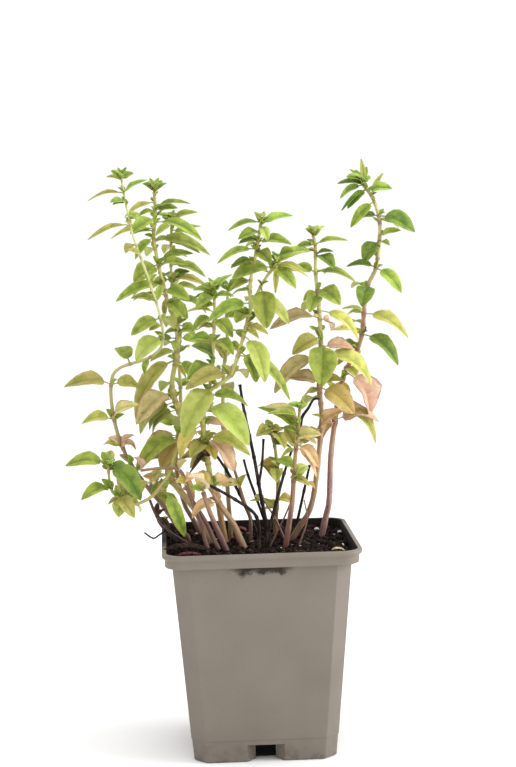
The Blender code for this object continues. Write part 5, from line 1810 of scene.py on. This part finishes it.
@dataclass
class RootBall:
    """The soil: a clodded surface inside the pot, with crumbs, scraps and rootlets. Millimetres."""

    pot: NurseryPot
    stems: list[Shoot]
    level: float = SOIL_LEVEL
    relief: float = 1.1
    grain: float = 9.0
    clod: float = 2.6
    clod_relief: float = 0.55
    around: int = 128
    top_rings: int = 44
    crumb_count: int = 860
    crumb_size: tuple[float, float] = (0.4, 2.3)
    perlite_count: int = 14
    rootlet_count: int = 190
    rootlet_radius: tuple[float, float] = (0.05, 0.15)
    chip_count: int = 95
    seed: int = 23

    def surface(self, x: float, y: float) -> float:
        """Height of the soil at a place, from the CAD's own relief and finer clods.

        Args:
            x: the place's X.
            y: the place's Y.

        Returns:
            The height.
        """
        coarse = noise.noise(Vector((x / self.grain, y / self.grain, 0.5)))
        fine = noise.noise(Vector((x / self.grain * 2.3, y / self.grain * 2.3, 4.5)))
        clods = noise.noise(Vector((x / self.clod, y / self.clod, 9.5)))
        crumbs = noise.noise(Vector((x / self.clod * 2.7, y / self.clod * 2.7, 2.5)))
        return (self.level + self.relief * (coarse + 0.5 * fine)
                + self.clod_relief * clods + 0.5 * self.clod_relief * crumbs)

    def edge_ring(self, half: float, corner: float, z: float) -> list[Vector]:
        """A round-cornered square of evenly spread points, in millimetres.

        Args:
            half: half its side.
            corner: its corners' radius.
            z: its height.

        Returns:
            The ring's points.
        """
        ring = []
        for k in range(self.around):
            angle = 2 * math.pi * k / self.around
            reach = Vector((math.cos(angle), math.sin(angle), 0.0))
            flat = half / max(abs(reach.x), abs(reach.y))
            round_corner = (half - corner) * math.sqrt(2) + corner
            ring.append(reach * min(flat, self.corner_reach(half, corner, angle, round_corner))
                        + Vector((0.0, 0.0, z)))
        return ring

    def corner_reach(self, half: float, corner: float, angle: float, furthest: float) -> float:
        """How far a ray from the middle goes inside the round corner nearest to it.

        Args:
            half: half the square's side.
            corner: its corners' radius.
            angle: the ray's heading.
            furthest: the reach of the corners.

        Returns:
            The distance, or twice furthest where the ray meets a straight side.
        """
        centre = half - corner
        heading = Vector((abs(math.cos(angle)), abs(math.sin(angle))))
        if heading.x * half < centre * heading.y or heading.y * half < centre * heading.x:
            return furthest * 2
        along = heading.dot(Vector((centre, centre)))
        off = 2 * centre * centre - along * along
        return along + math.sqrt(max(0.0, corner * corner - off))

    def build(self) -> None:
        """Make the soil in place of its CAD node, and all that lies on it."""
        self.build_body()
        self.build_crumbs()
        self.build_scraps()
        self.build_rootlets()

    def build_body(self) -> None:
        """The root ball itself, closed from the pot's floor to its clodded top."""
        bm = bmesh.new()
        shade = bm.verts.layers.float.new(SHADE)
        pot = self.pot
        inner = (pot.rim_half - pot.lip_proud - pot.wall) / MM - 0.4
        corner = (pot.rim_corner - pot.wall) / MM
        shoulder = (pot.shoulder + pot.wall) / MM
        low = pot.body_half(0.010) / MM - pot.wall / MM - 0.4
        high = pot.body_half(pot.shoulder) / MM - pot.wall / MM - 0.4
        rings = [self.edge_ring(low - 5.0, 6.0, 2.2), self.edge_ring(low - 5.0, 6.0, 9.6),
                 self.edge_ring(low, 7.0, 10.2), self.edge_ring(high, 8.0, shoulder - 1.4),
                 self.edge_ring(high, 8.0, shoulder + 0.4), self.edge_ring(inner, corner, shoulder + 0.8)]
        for k in range(self.top_rings):
            share = 1 - (k / self.top_rings) ** 1.1
            ring = self.edge_ring(inner * share, corner * share, 0.0)
            for point in ring:
                edge = min(1.0, k / 3)
                point.z = between(self.level - 0.8, self.surface(point.x, point.y), edge)
            rings.append(ring)
        verts = tube_from_rings(bm, [[point * MM for point in ring] for ring in rings])
        set_layer(verts, shade, 0.0)
        finish_piece(bm, "peat_root_ball", [grain_material(PEAT)], "soil", "soil", sharp=70.0)

    def is_free(self, x: float, y: float, room: float) -> bool:
        """Whether a place on the soil is clear of every stem's foot by room."""
        return all(math.hypot(x - stem.route[1][0], y - stem.route[1][1]) > stem.foot_radius + room
                   for stem in self.stems)

    def free_spot(self, draw: random.Random, room: float) -> tuple[float, float]:
        """A random place inside the rim that is clear of the stems.

        Args:
            draw: the seeded random draw.
            room: how far it keeps from them.

        Returns:
            Its X and Y, or the middle if none is found.
        """
        inner = (self.pot.rim_half - self.pot.lip_proud - self.pot.wall) / MM - room - 0.8
        for _ in range(200):
            x, y = draw.uniform(-inner, inner), draw.uniform(-inner, inner)
            outside_corner = math.hypot(max(0.0, abs(x) - inner + 7), max(0.0, abs(y) - inner + 7)) > 7
            if self.is_free(x, y, room) and not outside_corner:
                return x, y
        return 0.0, 0.0

    def build_crumbs(self) -> None:
        """Loose crumbs of peat, and a few of perlite, half sunk in the surface."""
        draw = random.Random(self.seed)
        for name, count, finish, largest in (("peat_crumbs", self.crumb_count, PEAT, 1.0),
                                             ("perlite_grains", self.perlite_count, PERLITE, 0.45)):
            bm = bmesh.new()
            shade = bm.verts.layers.float.new(SHADE)
            for _ in range(count):
                size = draw.uniform(*self.crumb_size) * largest
                x, y = self.free_spot(draw, size * 0.6)
                made = bmesh.ops.create_icosphere(bm, subdivisions=1, radius=size * MM)["verts"]
                squash = Vector([draw.uniform(0.6, 1.2) for _ in range(3)])
                for vert in made:
                    dent = noise.noise(vert.co / MM * 1.3 + Vector((x, y, 0.0)))
                    vert.co = vert.co * squash * (1 + 0.35 * dent)
                turn = Euler([draw.uniform(0, math.pi) for _ in range(3)]).to_matrix().to_4x4()
                place = Matrix.Translation(Vector((x, y, self.surface(x, y) + size * 0.15)) * MM) @ turn
                bmesh.ops.transform(bm, matrix=place, verts=made)
                set_layer(made, shade, draw.uniform(-1, 1))
            finish_piece(bm, name, [grain_material(finish)], "soil", sharp=50.0)

    def add_scrap(self, bm: bmesh.types.BMesh, scrap: Scrap, shade: object, draw: random.Random) -> None:
        """Add a bent, uneven plate with rounded edges.

        Args:
            bm: the mesh that it is added to.
            scrap: its size, place and bend.
            shade: the layer of shades.
            draw: the seeded random draw.
        """
        length, breadth, thick = scrap.size
        rings = []
        for step in range(SCRAP_STEPS + 1):
            x = step / SCRAP_STEPS * 2 - 1
            taper = math.sqrt(max(0.02, 1 - abs(x) ** 3))
            ring = []
            for k in range(SCRAP_SIDES):
                angle = 2 * math.pi * k / SCRAP_SIDES
                y, z = math.cos(angle), math.sin(angle)
                rough = 0.25 * noise.noise(Vector((x * 2.1, y * 1.4, z * 0.8)) + Vector(scrap.middle))
                lift = scrap.bend * (1 - x * x) - scrap.bend * 0.3 * y * y
                ring.append(Vector((x * length / 2, y * breadth / 2 * (taper + rough),
                                    z * thick / 2 * taper + lift)))
            rings.append(ring)
        made = tube_from_rings(bm, rings)
        turn = Euler((0.0, math.radians(scrap.tilt), math.radians(scrap.turn))).to_matrix().to_4x4()
        place = Matrix.Translation(Vector(scrap.middle) * MM) @ turn @ Matrix.Scale(MM, 4)
        bmesh.ops.transform(bm, matrix=place, verts=made)
        set_layer(made, shade, draw.uniform(-1, 1))

    def build_scraps(self) -> None:
        """Bark, sticks and chips: the listed ones where they are seen, small ones everywhere."""
        draw = random.Random(self.seed + 1)
        groups: dict[str, tuple] = {}
        small = []
        for _ in range(self.chip_count):
            x, y = self.free_spot(draw, 1.6)
            size = (draw.uniform(1.8, 5.0), draw.uniform(0.7, 1.8), draw.uniform(0.4, 0.9))
            finish = draw.choice((BARK, BARK, BARK, BARK, ROOTLET, PALE_WOOD, RED_BARK, RED_BARK))
            small.append(Scrap((x, y, self.surface(x, y) + 0.5), size,
                               draw.uniform(0, 180), draw.uniform(-25, 25), draw.uniform(0, 0.4), finish))
        for scrap in (*SCRAPS, *small):
            if scrap.finish.name not in groups:
                bm = bmesh.new()
                groups[scrap.finish.name] = (bm, bm.verts.layers.float.new(SHADE), scrap.finish)
            bm, shade, _ = groups[scrap.finish.name]
            self.add_scrap(bm, scrap, shade, draw)
        for name, (bm, _, finish) in groups.items():
            finish_piece(bm, f"scraps_{name}", [grain_material(finish)], "soil", sharp=50.0)

    def build_rootlets(self) -> None:
        """Fine dry roots that lie curled on the soil."""
        draw = random.Random(self.seed + 2)
        bm = bmesh.new()
        shade = bm.verts.layers.float.new(SHADE)
        for _ in range(self.rootlet_count):
            x, y = self.free_spot(draw, 2.0)
            heading = draw.uniform(0, 2 * math.pi)
            curl = draw.uniform(-0.5, 0.5)
            radius = draw.uniform(*self.rootlet_radius)
            rings = []
            limit = self.free_limit()
            for step in range(9):
                rise = 0.35 + 0.5 * math.sin(step * 0.7 + heading)
                middle = Vector((x, y, self.surface(x, y) + max(0.15, rise)))
                side = Vector((-math.sin(heading), math.cos(heading), 0.0))
                up = Vector((0.0, 0.0, 1.0))
                rings.append([(middle + (side * math.cos(a) + up * math.sin(a)) * radius) * MM
                              for a in (k * 2 * math.pi / 5 for k in range(5))])
                heading += curl * draw.uniform(0.4, 1.2)
                x = max(-limit, min(limit, x + math.cos(heading) * 1.2))
                y = max(-limit, min(limit, y + math.sin(heading) * 1.2))
            set_layer(tube_from_rings(bm, rings), shade, draw.uniform(-1, 1))
        finish_piece(bm, "rootlets", [grain_material(ROOTLET)], "soil", sharp=70.0)

    def free_limit(self) -> float:
        """How far from the middle loose matter may lie along X or Y, in millimetres."""
        return (self.pot.rim_half - self.pot.lip_proud - self.pot.wall) / MM - 2.0


@dataclass
class Studio:
    """The pale floor, the soft lights and the camera at the photograph's angle."""

    focal_px: float = 1709.8
    camera_place: tuple[float, float, float] = (-0.0409, -0.8069, 0.2498)
    pitch: float = 0.0987
    roll: float = -0.022
    yaw: float = 0.0526
    shift_px: float = 7.4
    sensor: float = 36.0
    floor_half: float = 4.0
    floor_drop: float = 0.0002
    floor_colour: str = "fbfbfa"
    surround_strength: float = 1.05
    plant_middle: float = 0.13
    clip: tuple[float, float] = (0.01, 20.0)

    def build(self) -> None:
        """Make the floor, the lights, the world and the camera."""
        self.build_floor()
        self.build_world()
        self.add_area("key_right", (1.7, -0.35, 0.8), 1.2, 27.0)
        self.add_area("top", (0.0, -0.2, 1.9), 1.6, 9.0)
        self.build_camera()

    def build_floor(self) -> None:
        """A plain pale floor."""
        bm = bmesh.new()
        bmesh.ops.create_grid(bm, x_segments=1, y_segments=1, size=self.floor_half)
        bmesh.ops.translate(bm, verts=bm.verts, vec=(0.0, 0.0, -self.floor_drop))
        floor = new_object("floor", new_mesh(bm, "floor"))
        material, _, shader = new_material("pale_studio_paper")
        set_inputs(shader, {"Base Color": linear(self.floor_colour), "Roughness": 0.9})
        floor.data.materials.append(material)

    def build_world(self) -> None:
        """An even white surround."""
        world = bpy.data.worlds.new("white_surround")
        world.use_nodes = True
        background = world.node_tree.nodes["Background"]
        set_inputs(background, {"Color": (1.0, 1.0, 1.0, 1.0), "Strength": self.surround_strength})
        bpy.context.scene.world = world

    def add_area(self, name: str, place: tuple[float, float, float], size: float, power: float) -> None:
        """A square area light that faces the middle of the plant.

        Args:
            name: the light's name.
            place: where it stands.
            size: its side in metres.
            power: its power in watts.
        """
        lamp = bpy.data.lights.new(name, "AREA")
        lamp.energy = power
        lamp.size = size
        light = new_object(name, lamp)
        light.location = place
        aim = Vector((0.0, 0.0, self.plant_middle)) - Vector(place)
        light.rotation_euler = aim.to_track_quat("-Z", "Y").to_euler()

    def build_camera(self) -> None:
        """The camera, its shift only as large as the photograph's framing needs."""
        data = bpy.data.cameras.new("camera")
        data.sensor_width = self.sensor
        data.lens = self.focal_px * self.sensor / max(PHOTO_WIDTH, PHOTO_HEIGHT)
        data.shift_y = self.shift_px / max(PHOTO_WIDTH, PHOTO_HEIGHT)
        data.clip_start, data.clip_end = self.clip
        camera = new_object("camera", data)
        turn = (Matrix.Rotation(-self.yaw, 3, "Z") @ Matrix.Rotation(math.pi / 2 - self.pitch, 3, "X")
                @ Matrix.Rotation(self.roll, 3, "Z"))
        camera.location = self.camera_place
        camera.rotation_euler = turn.to_euler()
        bpy.context.scene.camera = camera


def main() -> None:
    """Build every sub-assembly in order."""
    logging.basicConfig(level=logging.INFO, format="%(message)s")
    bpy.context.scene.view_settings.view_transform = "Standard"
    Studio().build()
    pot = NurseryPot()
    pot.build()
    feet = [shoots[0] for shoots in (*PLANT.values(), *DEAD.values())]
    RootBall(pot, feet).build()
    leaf_materials = {age: leaf_material(age) for age in Age}
    leaves = plan_leaves(PLANT)
    for name, shoots in PLANT.items():
        LeafyStem(name, shoots, leaves[name], leaf_materials).build()
    dead = grain_material(DEAD_STALK)
    for name, shoots in DEAD.items():
        DeadStem(name, shoots, dead).build()
    Undergrowth(leaf_materials, dead).build()


if __name__ == "__main__":
    main()
